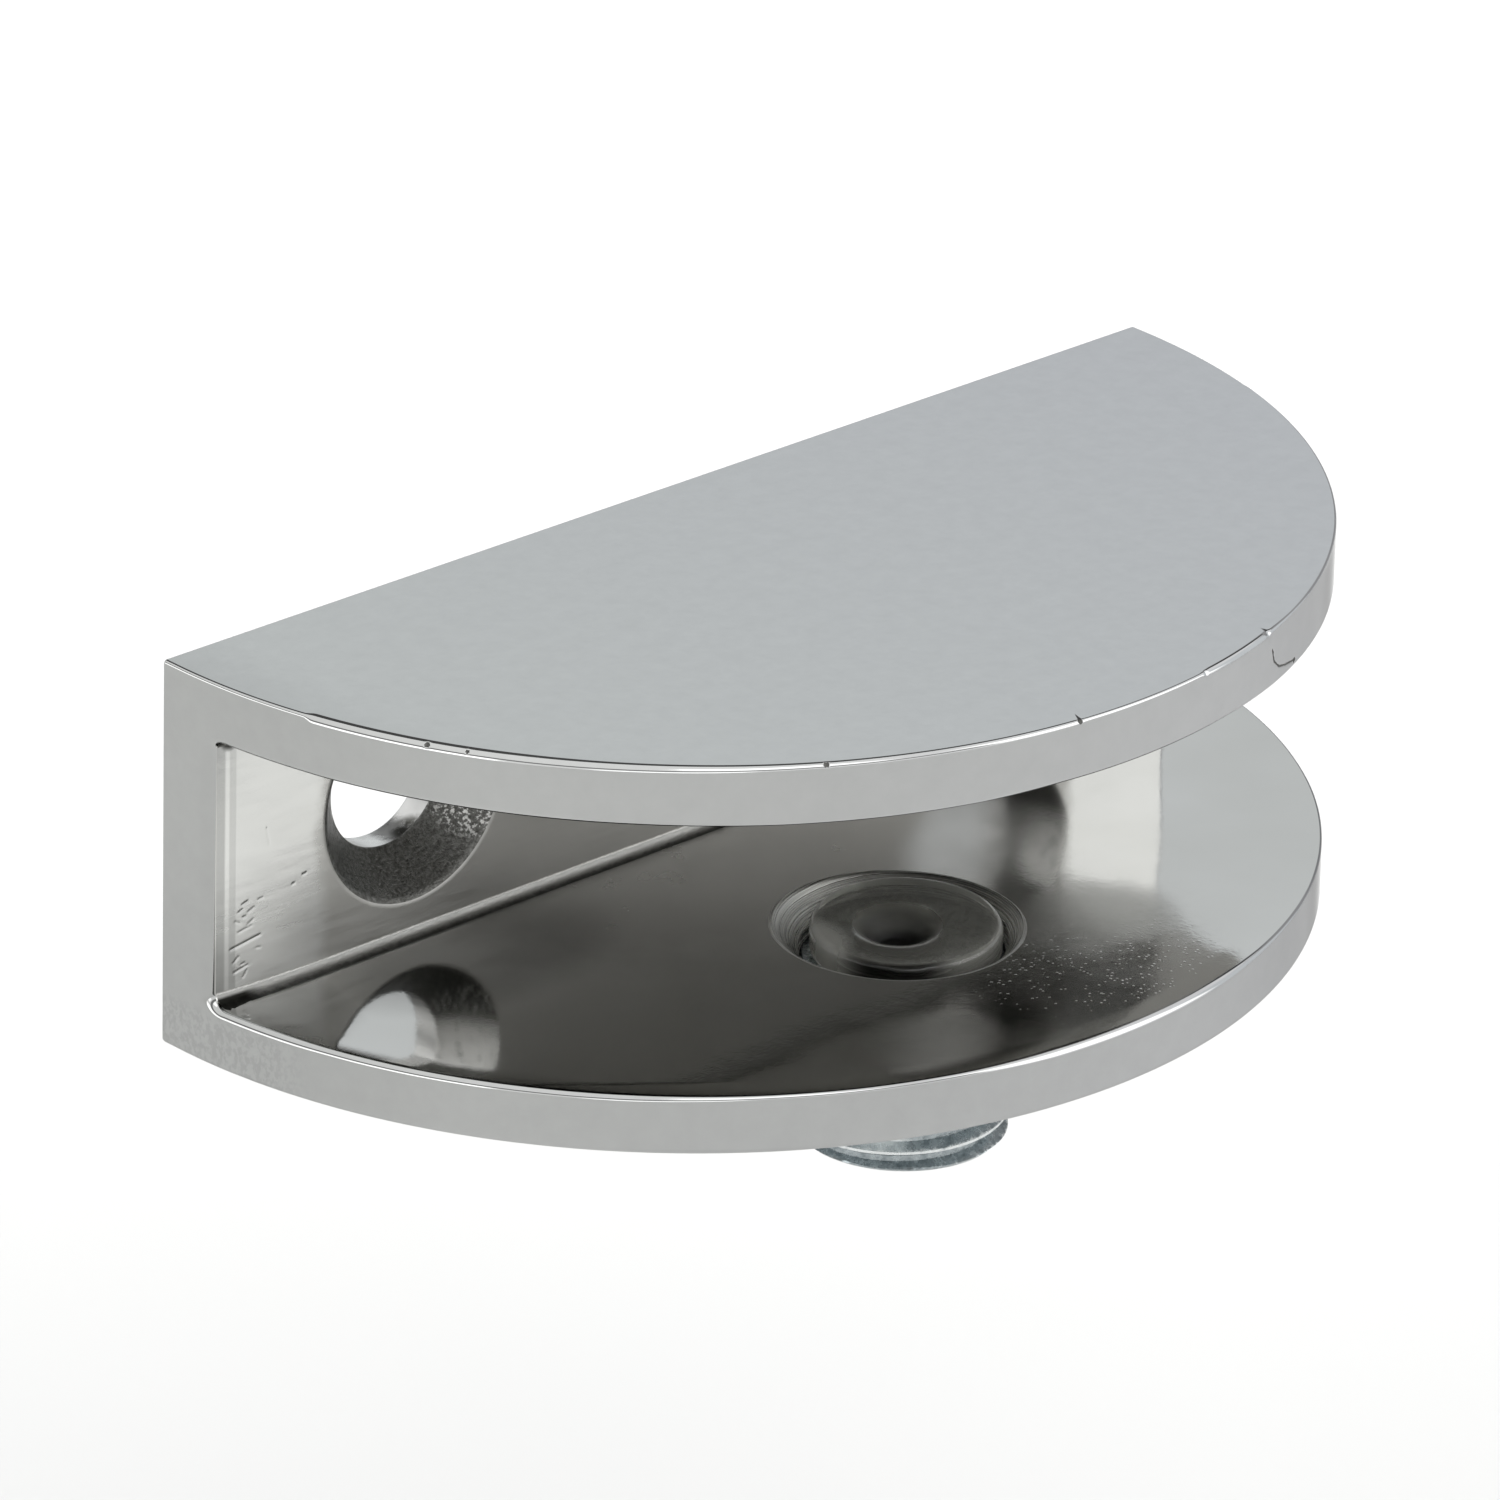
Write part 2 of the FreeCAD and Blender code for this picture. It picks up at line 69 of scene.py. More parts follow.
class Patchwork:
    """Collects patches with true normals at each corner and welds them into one mesh."""

    def __init__(self):
        self.verts, self.faces, self.normals, self.mats, self.n = [], [], [], [], 0

    def add(self, verts, faces, normals=None, mat=0, angle=None):
        verts = np.asarray(verts, float)
        if normals is None:
            verts, faces, corner = facet_normals(verts, faces, angle)
        else:
            normals = np.asarray(normals, float)
            corner = [[normals[i] for i in f] for f in faces]
        for f, c in zip(faces, corner):
            p = verts[list(f)]
            g = np.zeros(3)
            for i in range(1, len(f) - 1):
                g += np.cross(p[i] - p[0], p[i + 1] - p[0])
            if np.dot(g, np.sum(c, axis=0)) < 0:
                f, c = tuple(reversed(f)), list(reversed(c))
            self.faces.append(tuple(i + self.n for i in f))
            self.normals.append(c)
            self.mats.append(mat)
        self.verts.append(verts)
        self.n += len(verts)

    def strip(self, rows, norms, closed=False, mat=0):
        """Quads between neighbouring rows of points."""
        rows, norms = np.asarray(rows, float), np.asarray(norms, float)
        k, n = rows.shape[:2]
        faces = []
        for a in range(k - 1):
            for i in range(n if closed else n - 1):
                j = (i + 1) % n
                faces.append((a * n + i, a * n + j, (a + 1) * n + j, (a + 1) * n + i))
        pts = rows.reshape(-1, 3)
        pick = mat(pts[np.array(faces)].mean(axis=1)) if callable(mat) else np.full(len(faces), mat)
        for m in np.unique(pick):
            self.add(pts, [f for f, w in zip(faces, pick) if w == m], norms.reshape(-1, 3), int(m))

    def fill(self, loops, inner, surface, mat=0):
        """Triangles over a flat domain. loops: [(uv, xyz, normal), ...], the first
        is the outer one; inner: uv points; surface(uv) gives xyz and normal."""
        uv = np.concatenate([np.asarray(l[0], float) for l in loops])
        xyz = np.concatenate([np.asarray(l[1], float) for l in loops])
        nor = np.concatenate([np.asarray(l[2], float) for l in loops])
        rings, at = [], 0
        for l in loops:
            rings.append(list(range(at, at + len(l[0]))))
            at += len(l[0])
        inner = np.asarray(inner, float).reshape(-1, 2)
        if len(inner):
            keep = within(uv[rings[0]], inner)
            for r in rings[1:]:
                keep &= ~within(uv[r], inner)
            inner = inner[keep]
            near = np.ones(len(inner), bool)
            step = np.linalg.norm(np.roll(uv, -1, 0) - uv, axis=1)
            for a in range(0, len(inner), 500):
                d = np.linalg.norm(inner[a:a + 500, None] - uv[None], axis=2)
                near[a:a + 500] = (d > 0.09).all(axis=1)
            inner = inner[near]
            p, n = surface(inner)
            uv, xyz, nor = np.concatenate([uv, inner]), np.concatenate([xyz, p]), np.concatenate([nor, n])
        edges = [(r[i], r[(i + 1) % len(r)]) for r in rings for i in range(len(r))]
        res = delaunay_2d_cdt([Vector((float(a), float(b))) for a, b in uv], edges, [], 0, 1e-8)
        back = res[3]
        tri = np.array([[back[v][0] for v in f] for f in res[2]])
        mid = uv[tri].mean(axis=1)
        keep = within(uv[rings[0]], mid)
        for r in rings[1:]:
            keep &= ~within(uv[r], mid)
        tri, mid = tri[keep], mid[keep]
        pick = mat(mid) if callable(mat) else np.full(len(tri), mat)
        for m in np.unique(pick):
            self.add(xyz, [tuple(int(i) for i in t) for t in tri[pick == m]], nor, int(m))

    def build(self, name, materials, shape=None):
        verts = np.concatenate(self.verts)
        key = np.round(verts / 2e-4).astype(np.int64)
        _, first, inverse = np.unique(key, axis=0, return_index=True, return_inverse=True)
        inverse = np.asarray(inverse).reshape(-1)
        verts = verts[first]
        faces, corners, mats = [], [], []
        for f, c, m in zip(self.faces, self.normals, self.mats):
            g, cc = [], []
            for i, nn in zip(f, c):
                w = int(inverse[i])
                if w not in g:
                    g.append(w)
                    cc.append(nn)
            if len(g) > 2:
                faces.append(g)
                corners.append(cc)
                mats.append(m)
        flat = unit(np.array([n for c in corners for n in c]))
        loop_v = np.array([i for f in faces for i in f])
        if shape is not None:
            mean = np.zeros_like(verts)
            np.add.at(mean, loop_v, flat)
            mean = unit(mean)
            e = 0.004
            grad = np.stack([(shape(verts + d) - shape(verts - d)) / (2 * e)
                             for d in np.eye(3) * e], axis=1)[loop_v]
            grad -= flat * np.sum(grad * flat, axis=1, keepdims=True)
            verts = verts + mean * shape(verts)[:, None]
            flat = unit(flat - grad)
        mesh = bpy.data.meshes.new(name)
        pos = (verts + np.array([0, 0, LIFT])) * MM
        mesh.from_pydata([tuple(v) for v in pos], [], faces)
        mesh.polygons.foreach_set("material_index", mats)
        mesh.polygons.foreach_set("use_smooth", [True] * len(faces))
        mesh.normals_split_custom_set([tuple(n) for n in flat])
        mesh.update()
        for m in materials:
            mesh.materials.append(m)
        obj = bpy.data.objects.new(name, mesh)
        bpy.context.scene.collection.objects.link(obj)
        return obj


def within(poly, pts):
    """Which points lie inside a closed polygon."""
    poly, pts = np.asarray(poly, float), np.asarray(pts, float)
    a, b = poly, np.roll(poly, -1, axis=0)
    out = np.zeros(len(pts), bool)
    for s in range(0, len(pts), 2000):
        p = pts[s:s + 2000]
        cross = (a[None, :, 1] > p[:, None, 1]) != (b[None, :, 1] > p[:, None, 1])
        dy = np.where(np.abs(b[:, 1] - a[:, 1]) < 1e-15, 1e-15, b[:, 1] - a[:, 1])
        xs = a[None, :, 0] + (p[:, None, 1] - a[None, :, 1]) / dy[None] * (b - a)[None, :, 0]
        out[s:s + 2000] = (np.sum(cross & (p[:, None, 0] < xs), axis=1) % 2) == 1
    return out


def facet_normals(verts, faces, angle):
    """Corner normals from the faces, kept apart where they turn by more than angle."""
    key = np.round(verts / 2e-4).astype(np.int64)
    _, first, inverse = np.unique(key, axis=0, return_index=True, return_inverse=True)
    inverse = np.asarray(inverse).reshape(-1)
    verts = verts[first]
    clean = []
    for f in faces:
        g = []
        for i in f:
            w = int(inverse[i])
            if w not in g:
                g.append(w)
        if len(g) > 2:
            clean.append(tuple(g))
    raw, share = [], [[] for _ in range(len(verts))]
    for k, f in enumerate(clean):
        p = verts[list(f)]
        g = np.zeros(3)
        for i in range(1, len(f) - 1):
            g += np.cross(p[i] - p[0], p[i + 1] - p[0])
        raw.append(g)
        for i in f:
            share[i].append(k)
    raw = np.array(raw)
    uni = unit(raw)
    limit = math.cos(math.radians(angle))
    corner = []
    for k, f in enumerate(clean):
        c = []
        for i in f:
            ks = share[i]
            w = (uni[ks] @ uni[k]) > limit
            c.append(unit(raw[ks][w].sum(axis=0)))
        corner.append(c)
    return verts, clean, corner


def lattice(u0, u1, v0, v1, du, dv=None):
    dv = dv or du
    u, v = np.meshgrid(np.arange(u0, u1 + 1e-9, du), np.arange(v0, v1 + 1e-9, dv))
    u = u + (np.arange(u.shape[0]) % 2)[:, None] * du * 0.5
    return np.stack([u.ravel(), v.ravel()], 1)


def ring(cx, cy, r, n):
    t = np.linspace(0, 2 * np.pi, n + 1)[:-1]
    return np.stack([cx + r * np.cos(t), cy + r * np.sin(t)], 1)


# ------------------------------------------------------------- outline of body
# Edge damage: angle round the half round in degrees, size and depth in mm.
NICKS = [(154.03, 18.68, 0.10, 0.06), (150.44, 18.68, 0.07, 0.05), (120.08, 18.70, 0.10, 0.05),
         (96.44, 18.70, 0.10, 0.06), (81.2, 18.66, 0.11, 0.06), (71.0, 18.66, 0.17, 0.06)]
DARK_NICKS = 4                                # the first ones are dark inside
# Scratches and pits in the buffed end of the wall plate: x, z of both ends, depth.
SCRATCH = [(-28.61, 5.31, -27.03, 5.62, 0.020), (-28.43, 4.12, -27.72, 4.32, 0.016), (-28.2, 6.05, -27.5, 6.2, 0.010),
           (-26.68, 10.75, -26.5, 9.9, 0.010), (-27.98, 7.36, -27.72, 7.45, 0.018), (-28.2, 7.02, -28.0, 7.12, 0.014),
           (-27.66, 6.92, -27.36, 7.06, 0.012), (-27.92, 6.74, -27.84, 6.73, 0.016), (-27.1, 7.38, -26.9, 7.42, 0.008),
           (-24.6, 7.9, -24.45, 7.92, 0.016), (-25.2, 7.6, -25.1, 7.62, 0.012), (-28.46, 4.62, -28.22, 4.84, 0.013),
           (-28.02, 4.44, -27.86, 4.46, 0.012), (-28.36, 6.62, -28.16, 6.5, 0.012), (-27.7, 6.3, -27.4, 6.5, 0.008),
           (-27.92, 3.8, -27.74, 4.08, 0.010), (-27.2, 5.05, -27.02, 5.0, 0.008)]
CRACK = [(70.15, 17.76), (69.75, 17.12), (68.7, 16.66), (67.3, 16.46), (65.9, 16.32), (65.2, 16.25)]

phi_c = math.asin((WALL + FIL - SIDE) / R0)
phi = list(np.linspace(phi_c, math.pi - phi_c, 561))
for a, _z, w, _d in NICKS:
    phi += list(math.radians(a) + np.linspace(-2.6, 2.6, 27) * w / R0)
phi += list(np.linspace(0, phi_c, 10)) + list(np.linspace(math.pi - phi_c, math.pi, 10))
phi = np.array(sorted(phi))
phi = phi[np.concatenate([[True], np.diff(phi) > 2e-4])]
i0, i1 = int(np.argmin(np.abs(phi - phi_c))), int(np.argmin(np.abs(phi - (math.pi - phi_c))))
phi[i0], phi[i1] = phi_c, math.pi - phi_c

run = np.array([-BACK, -0.35, -0.65])                  # straight ends
N_R = len(run)
path_s = np.concatenate([-(run + SIDE), R0 * phi, R0 * math.pi + (run + SIDE)[::-1]])


def path(s, inset=0.0):
    """Point and outward normal of the outline at distance s along it."""
    s, inset = np.broadcast_arrays(np.asarray(s, float), np.asarray(inset, float))
    a = np.clip(s / R0, 0, math.pi)
    n = np.stack([np.cos(a), -np.sin(a)], -1)
    p = n * (R0 - inset)[..., None] + np.array([0, -SIDE])
    p[..., 1] += np.where(s < 0, -s, 0) + np.where(s > R0 * math.pi, s - R0 * math.pi, 0)
    return p, n


def xyz(p2, z):
    z = np.broadcast_to(np.asarray(z, float), p2.shape[:-1])
    return np.concatenate([p2, z[..., None]], -1)


def out3(n2):
    return np.concatenate([n2, np.zeros(n2.shape[:-1] + (1,))], -1)


UP = np.array([0, 0, 1.0])
OUTSIDE, INSIDE, WALLED, CAST, TAPPED, ROOT, UNDER, LAND, DARK = range(9)
body = Patchwork()

# Rounded upper and lower outer edges, rounder near the wall plate.
K = 10


def edge_top(a):
    """Upper edge: crisp beside the wall plate, then rounder at the left than at the right."""
    a = np.asarray(a, float)
    body_r = np.interp(np.degrees(a), [15, 66, 70.2, 71.5, 80.5, 82, 95.8, 97, 120, 145],
                       [0.12, 0.12, 0.20, 0.30, 0.30, 0.15, 0.15, 0.21, 0.26, 0.40])
    d = np.minimum(a, math.pi - a)
    t = np.clip((d - math.radians(14.2)) / math.radians(0.9), 0, 1)
    return EDGE_END + (body_r - EDGE_END) * t * t * (3 - 2 * t)


def edge_slot(a):
    """Edges of the slot: rounder beside the wall plate, crisp at the right."""
    a = np.asarray(a, float)
    body_r = np.interp(np.degrees(a), [20, 56, 70, 78, 98, 106, 124, 136, 160],
                       [0.11, 0.11, 0.22, 0.36, 0.36, 0.19, 0.19, 0.30, 0.33])
    d = np.minimum(a, math.pi - a)
    t = np.clip((d - math.radians(13.4)) / math.radians(4.0), 0, 1)
    return 0.36 + (body_r - 0.36) * t * t * (3 - 2 * t)


def dark_nicks(p):
    """Finish of the rounded edges: dark inside the deepest nicks."""
    out = np.full(len(p), OUTSIDE)
    for a, z, w, _d in NICKS[:DARK_NICKS]:
        c = np.array([29.9 * math.cos(math.radians(a)), -SIDE - 29.9 * math.sin(math.radians(a)), z])
        out[np.linalg.norm(p - c, axis=1) < 1.35 * w] = DARK
    return out


edge_s = {1: edge_top(np.clip(path_s / R0, 0, math.pi)), -1: 0 * path_s + EDGE}
edge_rows = {}
for side in (1, -1):
    rows, norms = [], []
    for k in range(K + 1):
        t = math.pi / 2 * k / K
        p2, n2 = path(path_s, edge_s[side] * (1 - math.sin(t)))
        z = edge_s[side] * (1 - math.cos(t))
        rows.append(xyz(p2, HT - z if side > 0 else z))
        norms.append(out3(n2) * math.sin(t) + UP * side * math.cos(t))
    body.strip(rows, norms, mat=dark_nicks)
    edge_rows[side] = (np.array(rows), np.array(norms))

# ----------------------------------------------------------------- slot surface
L1 = FIL * math.pi / 2
Z_A, Z_B = PLATE + FIL, HT - PLATE - FIL
W3 = L1 + (Z_B - Z_A)
W4 = W3 + L1
Y_F = -WALL - FIL


def slot_surface(q):
    """Unrolled slot: q[:,0] runs from the lower plate over the wall plate to the
    upper one, q[:,1] is x."""
    w, x = q[:, 0], q[:, 1]
    psi = np.where(w < L1, -math.pi / 2 + np.clip(w, 0, L1) / FIL, np.clip(w - W3, 0, L1) / FIL)
    zc = np.where(w < L1, Z_A, Z_B)
    y = Y_F + FIL * np.cos(psi)
    z = zc + FIL * np.sin(psi)
    n = -np.stack([0 * w, np.cos(psi), np.sin(psi)], 1)
    low, mid, top = w < 0, (w >= L1) & (w <= W3), w > W4
    y = np.where(low, Y_F + w, np.where(top, Y_F - (w - W4), np.where(mid, -WALL, y)))
    z = np.where(low, PLATE, np.where(top, HT - PLATE, np.where(mid, Z_A + (w - L1), z)))
    n[low], n[mid], n[top] = (0, 0, 1), (0, -1, 0), (0, 0, -1)
    share = np.clip(np.minimum(w / L1, (W4 - w) / L1), 0, 1)
    off, slope = bow(x)
    y = y + off * share
    n[:, 0] += -slope * n[:, 1] * share
    r = np.hypot(x, y + SIDE)
    drop = np.clip(r - (R0 - DUB_W), 0, None) * low
    z = z - DUB * drop ** 2
    n[:, :2] += (2 * DUB * drop / np.maximum(r, 1e-6))[:, None] * np.stack([x, y + SIDE], 1)
    return np.stack([x, y, z], 1), unit(n)


def bow(x):
    """How far the wall plate stands back at x, and the slope there."""
    d = np.clip(np.abs(x) - BOW_X, 0, None)
    d = np.where(x > 0, np.minimum(d, 4.0), d)
    slope = np.where((x > 0) & (d >= 4.0), 0.0, 2 * BOW * d)
    return BOW * d * d, slope * np.sign(x)


# The loop where the slot breaks through the outside: (phi, psi, w, z, radius).
front = phi[i0:i1 + 1]
ease = lambda t: t * t * (3 - 2 * t)
C_N = 10
loop = []
for a in front:
    loop.append((a, -math.pi / 2, None, PLATE - DUB * DUB_W ** 2, float(edge_slot(a)), "low"))


def wall_end(left):
    seq = []
    ew = EDGE_WALL if left else 0.25
    sink = DUB * DUB_W ** 2
    for k in range(1, C_N):
        t = k / C_N
        psi = -math.pi / 2 + t * math.pi / 2
        seq.append((psi, FIL * (psi + math.pi / 2), Y_F + FIL * math.cos(psi), Z_A + FIL * math.sin(psi) - sink * (1 - t),
                    0.36 + (ew - 0.36) * ease(t), t))
    for z in np.linspace(Z_A, Z_B, 41):
        seq.append((0.0, L1 + z - Z_A, -WALL, z, ew, 1.0))
    for k in range(1, C_N):
        t = k / C_N
        psi = t * math.pi / 2
        seq.append((psi, W3 + FIL * psi, Y_F + FIL * math.cos(psi), Z_B + FIL * math.sin(psi),
                    0.36 + (ew - 0.36) * ease(1 - t), 1.0 - t))
    out = []
    for psi, w, y, z, r, share in seq:
        a = math.asin((-y - SIDE) / R0)
        x = R0 * math.cos(a) * (-1 if left else 1)
        a = math.asin((-y - share * float(bow(x)[0]) - SIDE) / R0)
        out.append((math.pi - a if left else a, psi, w, z, r, "end"))
    return out


loop += wall_end(True)
for a in front[::-1]:
    loop.append((a, math.pi / 2, None, HT - PLATE, float(edge_slot(a)), "top"))
loop += wall_end(False)[::-1]

E, A_uv, B_uv, NS, NO = [], [], [], [], []
for a, psi, w, z, r, kind in loop:
    ca, sa = math.cos(a), math.sin(a)
    e = np.array([R0 * ca, -SIDE - R0 * sa, z])
    if kind == "low":
        w = e[1] - Y_F
    elif kind == "top":
        w = W4 + (Y_F - e[1])
    E.append(e)
    A_uv.append((w - r * math.sin(psi) * sa, e[0] - r * ca))
    B_uv.append((R0 * a - r * math.cos(psi) * ca, z + r * math.sin(psi)))
    NS.append((0, math.cos(psi), math.sin(psi)))
    NO.append((ca, -sa, 0))
E, A_uv, B_uv, NS, NO = (np.array(v, float) for v in (E, A_uv, B_uv, NS, NO))
A, A_n = slot_surface(A_uv)
B2, Bn2 = path(B_uv[:, 0])
B, B_n = xyz(B2, B_uv[:, 1]), out3(Bn2)
rows, norms = [], []
for k in range(K + 1):
    t = k / K
    kap = 0.5523
    p1, p2 = A + (E - A) * kap, B + (E - B) * kap
    rows.append(((1 - t) ** 3) * A + 3 * t * (1 - t) ** 2 * p1 + 3 * t * t * (1 - t) * p2 + t ** 3 * B)
    norms.append(unit(A_n * math.cos(t * math.pi / 2) + B_n * math.sin(t * math.pi / 2)))
rows[0], rows[-1] = A, B
body.strip(rows, norms, closed=True, mat=OUTSIDE)

# ------------------------------------------------- outer wall, plates, wall face
z_side = np.linspace(EDGE, HT - EDGE_END, 20)
top_row, low_row = edge_rows[1][0][-1], edge_rows[-1][0][-1]
side_n = edge_rows[1][1][-1]
outer_uv = np.concatenate([
    np.stack([path_s, HT - edge_s[1]], 1),
    np.stack([0 * z_side[1:-1] + path_s[-1], z_side[::-1][1:-1]], 1),
    np.stack([path_s[::-1], edge_s[-1][::-1]], 1),
    np.stack([0 * z_side[1:-1] + path_s[0], z_side[1:-1]], 1)])


def side_surface(q):
    p2, n2 = path(q[:, 0])
    return xyz(p2, q[:, 1]), out3(n2)


side_xyz, side_nor = side_surface(outer_uv)
n_p = len(path_s)
side_xyz[:n_p] = top_row
side_xyz[n_p + 18:2 * n_p + 18] = low_row[::-1]
inner = [lattice(-1, R0 * math.pi + 1, 0.65, 2.4, 0.45, 0.4), lattice(-1, R0 * math.pi + 1, 16.5, 18.25, 0.45, 0.4),
         lattice(-1, 2.2, 2.9, 15.9, 0.5), lattice(R0 * math.pi - 2.2, R0 * math.pi + 1, 3.4, 15.9, 0.5),
         lattice(R0 * math.pi - 8.5, R0 * math.pi + 0.9, 0.4, 3.3, 0.12)]
for a, z in CRACK:
    c = math.radians(a) * R0
    inner.append(lattice(c - 0.6, c + 0.6, z - 0.35, z + 0.35, 0.055))
cr = np.concatenate(inner[5:])
cr = cr[np.unique(np.round(cr / 0.05).astype(int), axis=0, return_index=True)[1]]


def cracked(m):
    """Finish of the outer wall: dark along the crack, widest at its end."""
    c = np.array([(math.radians(a) * R0, z) for a, z in CRACK])
    d = np.full(len(m), 9.0)
    for a, b in zip(c, c[1:]):
        u = np.clip(((m - a) @ (b - a)) / ((b - a) @ (b - a)), 0, 1)
        d = np.minimum(d, np.linalg.norm(m - (a + u[:, None] * (b - a)), axis=1))
    end = np.linalg.norm(m - c[-1], axis=1)
    return np.where((d < 0.05) | (end < 0.13), DARK, OUTSIDE)


body.fill([(outer_uv, side_xyz, side_nor), (B_uv, B, B_n)], np.concatenate(inner[:5] + [cr]), side_surface, cracked)

# Wall-screw holes: circle on the wall plate, cone, land, back edge.
H_N = 120
hole_profile = []      # r, y, normal (radial, y)


def bend(p0, corner, p1, n0, n1, steps):
    out = []
    for k in range(steps + 1):
        t = k / steps
        p = [(1 - t) ** 2 * a + 2 * t * (1 - t) * b + t * t * c for a, b, c in zip(p0, corner, p1)]
        n = [(1 - t) * a + t * b for a, b in zip(n0, n1)]
        out.append((*p, *n))
    return out


q = math.sqrt(0.5)
cone_y = -WALL + (SINK_R - HOLE_R)
SOFT = 0.28
hole_profile += bend((SINK_R + SOFT, -WALL), (SINK_R, -WALL), (SINK_R - SOFT * q, -WALL + SOFT * q), (0, -1), (-q, -q), 8)
for t in np.linspace(0, 1, 9)[1:-1]:
    hole_profile.append((SINK_R - SOFT * q + (HOLE_R + 0.07 - SINK_R + SOFT * q) * t,
                         -WALL + SOFT * q + (cone_y - 0.07 + WALL - SOFT * q) * t, -q, -q))
hole_profile += bend((HOLE_R + 0.07, cone_y - 0.07), (HOLE_R, cone_y), (HOLE_R, cone_y + 0.1), (-q, -q), (-1, 0), 3)
CONE_ROWS = len(hole_profile)
hole_profile.append((HOLE_R, -0.7, -1, 0))
hole_profile += bend((HOLE_R, -0.1), (HOLE_R, 0.0), (HOLE_R + 0.1, 0.0), (-1, 0), (0, 1), 3)
slot_holes, back_holes = [], []
for sx in (-1, 1):
    t = np.linspace(0, 2 * np.pi, H_N + 1)[:-1]
    c, s = np.cos(t), np.sin(t)
    rows, norms = [], []
    for r, y, nr, ny in hole_profile:
        rows.append(np.stack([sx * HOLE_X + r * c, 0 * t + y, HOLE_Z + r * s], 1))
        norms.append(unit(np.stack([nr * c, 0 * t + ny, nr * s], 1)))
    body.strip(rows[:4], norms[:4], closed=True, mat=WALLED)
    body.strip(rows[3:CONE_ROWS], norms[3:CONE_ROWS], closed=True, mat=CAST)
    body.strip(rows[CONE_ROWS - 1:], norms[CONE_ROWS - 1:], closed=True, mat=LAND)
    first, last = rows[0], rows[-1]
    slot_holes.append((np.stack([L1 + first[:, 2] - Z_A, first[:, 0]], 1), first, np.tile([0, -1.0, 0], (H_N, 1))))
    back_holes.append((last[:, [0, 2]], last, np.tile([0, 1.0, 0], (H_N, 1))))


# Screw bore: rounded rims, lead-in chamfers and the thread between them.
def thread_in(q):
    a = np.abs(q % 1.0 - 0.5) * PITCH
    return 4.6 + np.clip((a - 0.1) / 0.26, 0, 1) * (BORE_R - 4.6)


def thread_out(q):
    a = np.abs((q + 0.5) % 1.0 - 0.5) * PITCH
    return 4.95 - np.clip((a - 0.0625) / 0.306, 0, 1) * (4.95 - 4.42)


def off_ring(th, r):
    """Distance from the bore's axis to the off-centre circle of radius r."""
    return RIM_E * np.cos(th) + np.sqrt(r * r - (RIM_E * np.sin(th)) ** 2)


def helical_wall(radius, breaks, z0, z1, extra, columns):
    """Wall r(theta, z) whose mesh lines follow the helix; columns are closed by the weld."""
    cols = []
    for th in np.linspace(0, 2 * np.pi, columns + 1):
        turn = th / (2 * np.pi)
        k = np.arange(math.floor(z0 / PITCH) - 3, math.ceil(z1 / PITCH) + 3)
        zs = [((k + b + turn) * PITCH) for b in breaks]
        z = np.sort(np.clip(np.concatenate(zs + [np.asarray(extra, float), [z0, z1]]), z0, z1))
        r = radius(z / PITCH - turn, z, th)
        cols.append(np.stack([r * np.cos(th), BORE_Y + r * np.sin(th), z], 1))
    cols = np.array(cols)
    n, m = cols.shape[:2]
    faces = [(i * m + j, (i + 1) * m + j, (i + 1) * m + j + 1, i * m + j + 1)
             for i in range(n - 1) for j in range(m - 1)]
    return cols.reshape(-1, 3), faces


B_N = 192
t = np.linspace(0, 2 * np.pi, B_N + 1)[:-1]
cos_t, sin_t = np.cos(t), np.sin(t)
RIM = BORE_R + BORE_C


def bore_rows(profile):
    rows = [np.stack([r * cos_t, BORE_Y + r * sin_t, 0 * t + z], 1) for r, z, _a, _b in profile]
    norms = [unit(np.stack([nr * cos_t, nr * sin_t, 0 * t + nz], 1)) for _r, _z, nr, nz in profile]
    return rows, norms


rows, norms = [], []
for r, z, nr, nz in bend((RIM_R + 0.14, PLATE), (RIM_R, PLATE), (RIM_R - 0.1, PLATE - 0.1), (0, 1), (-q, q), 4):
    rr = off_ring(t, r)
    rows.append(np.stack([rr * cos_t, BORE_Y + rr * sin_t, 0 * t + z], 1))
    out = unit(np.stack([rr * cos_t - RIM_E, rr * sin_t], 1))
    norms.append(unit(np.concatenate([out * nr, np.full((B_N, 1), nz)], 1)))
body.strip(rows, norms, closed=True, mat=TAPPED)
bore_top = rows[0]
rows, norms = bore_rows(bend((RIM + 0.12, 0.0), (RIM, 0.0), (RIM - 0.09, 0.09), (0, -1), (-q, -q), 3))
body.strip(rows, norms, closed=True, mat=TAPPED)
bore_low = rows[0]
cone = lambda z, th: np.maximum(off_ring(th, np.maximum(RIM_R - (PLATE - z), 0.6)), RIM - z)
v, f = helical_wall(lambda qq, z, th: np.maximum(thread_in(qq), cone(z, th)), (0.4, 0.6, 0.14, 0.86),
                    0.09, PLATE - 0.1, np.linspace(0.09, PLATE - 0.1, 41), B_N)
wall_dir = np.stack([-(v[:, 0]), -(v[:, 1] - BORE_Y), 0 * v[:, 0]], 1)


def facing(verts, faces, towards):
    """Turns each face so that its normal agrees with the given direction."""
    out = []
    for f in faces:
        p = verts[list(f)]
        g = sum((np.cross(p[i] - p[0], p[i + 1] - p[0]) for i in range(1, len(f) - 1)), np.zeros(3))
        out.append(tuple(f) if np.dot(g, towards[f[0]]) >= 0 else tuple(reversed(f)))
    return out


body.add(v, facing(v, f, wall_dir), None, TAPPED, angle=32)

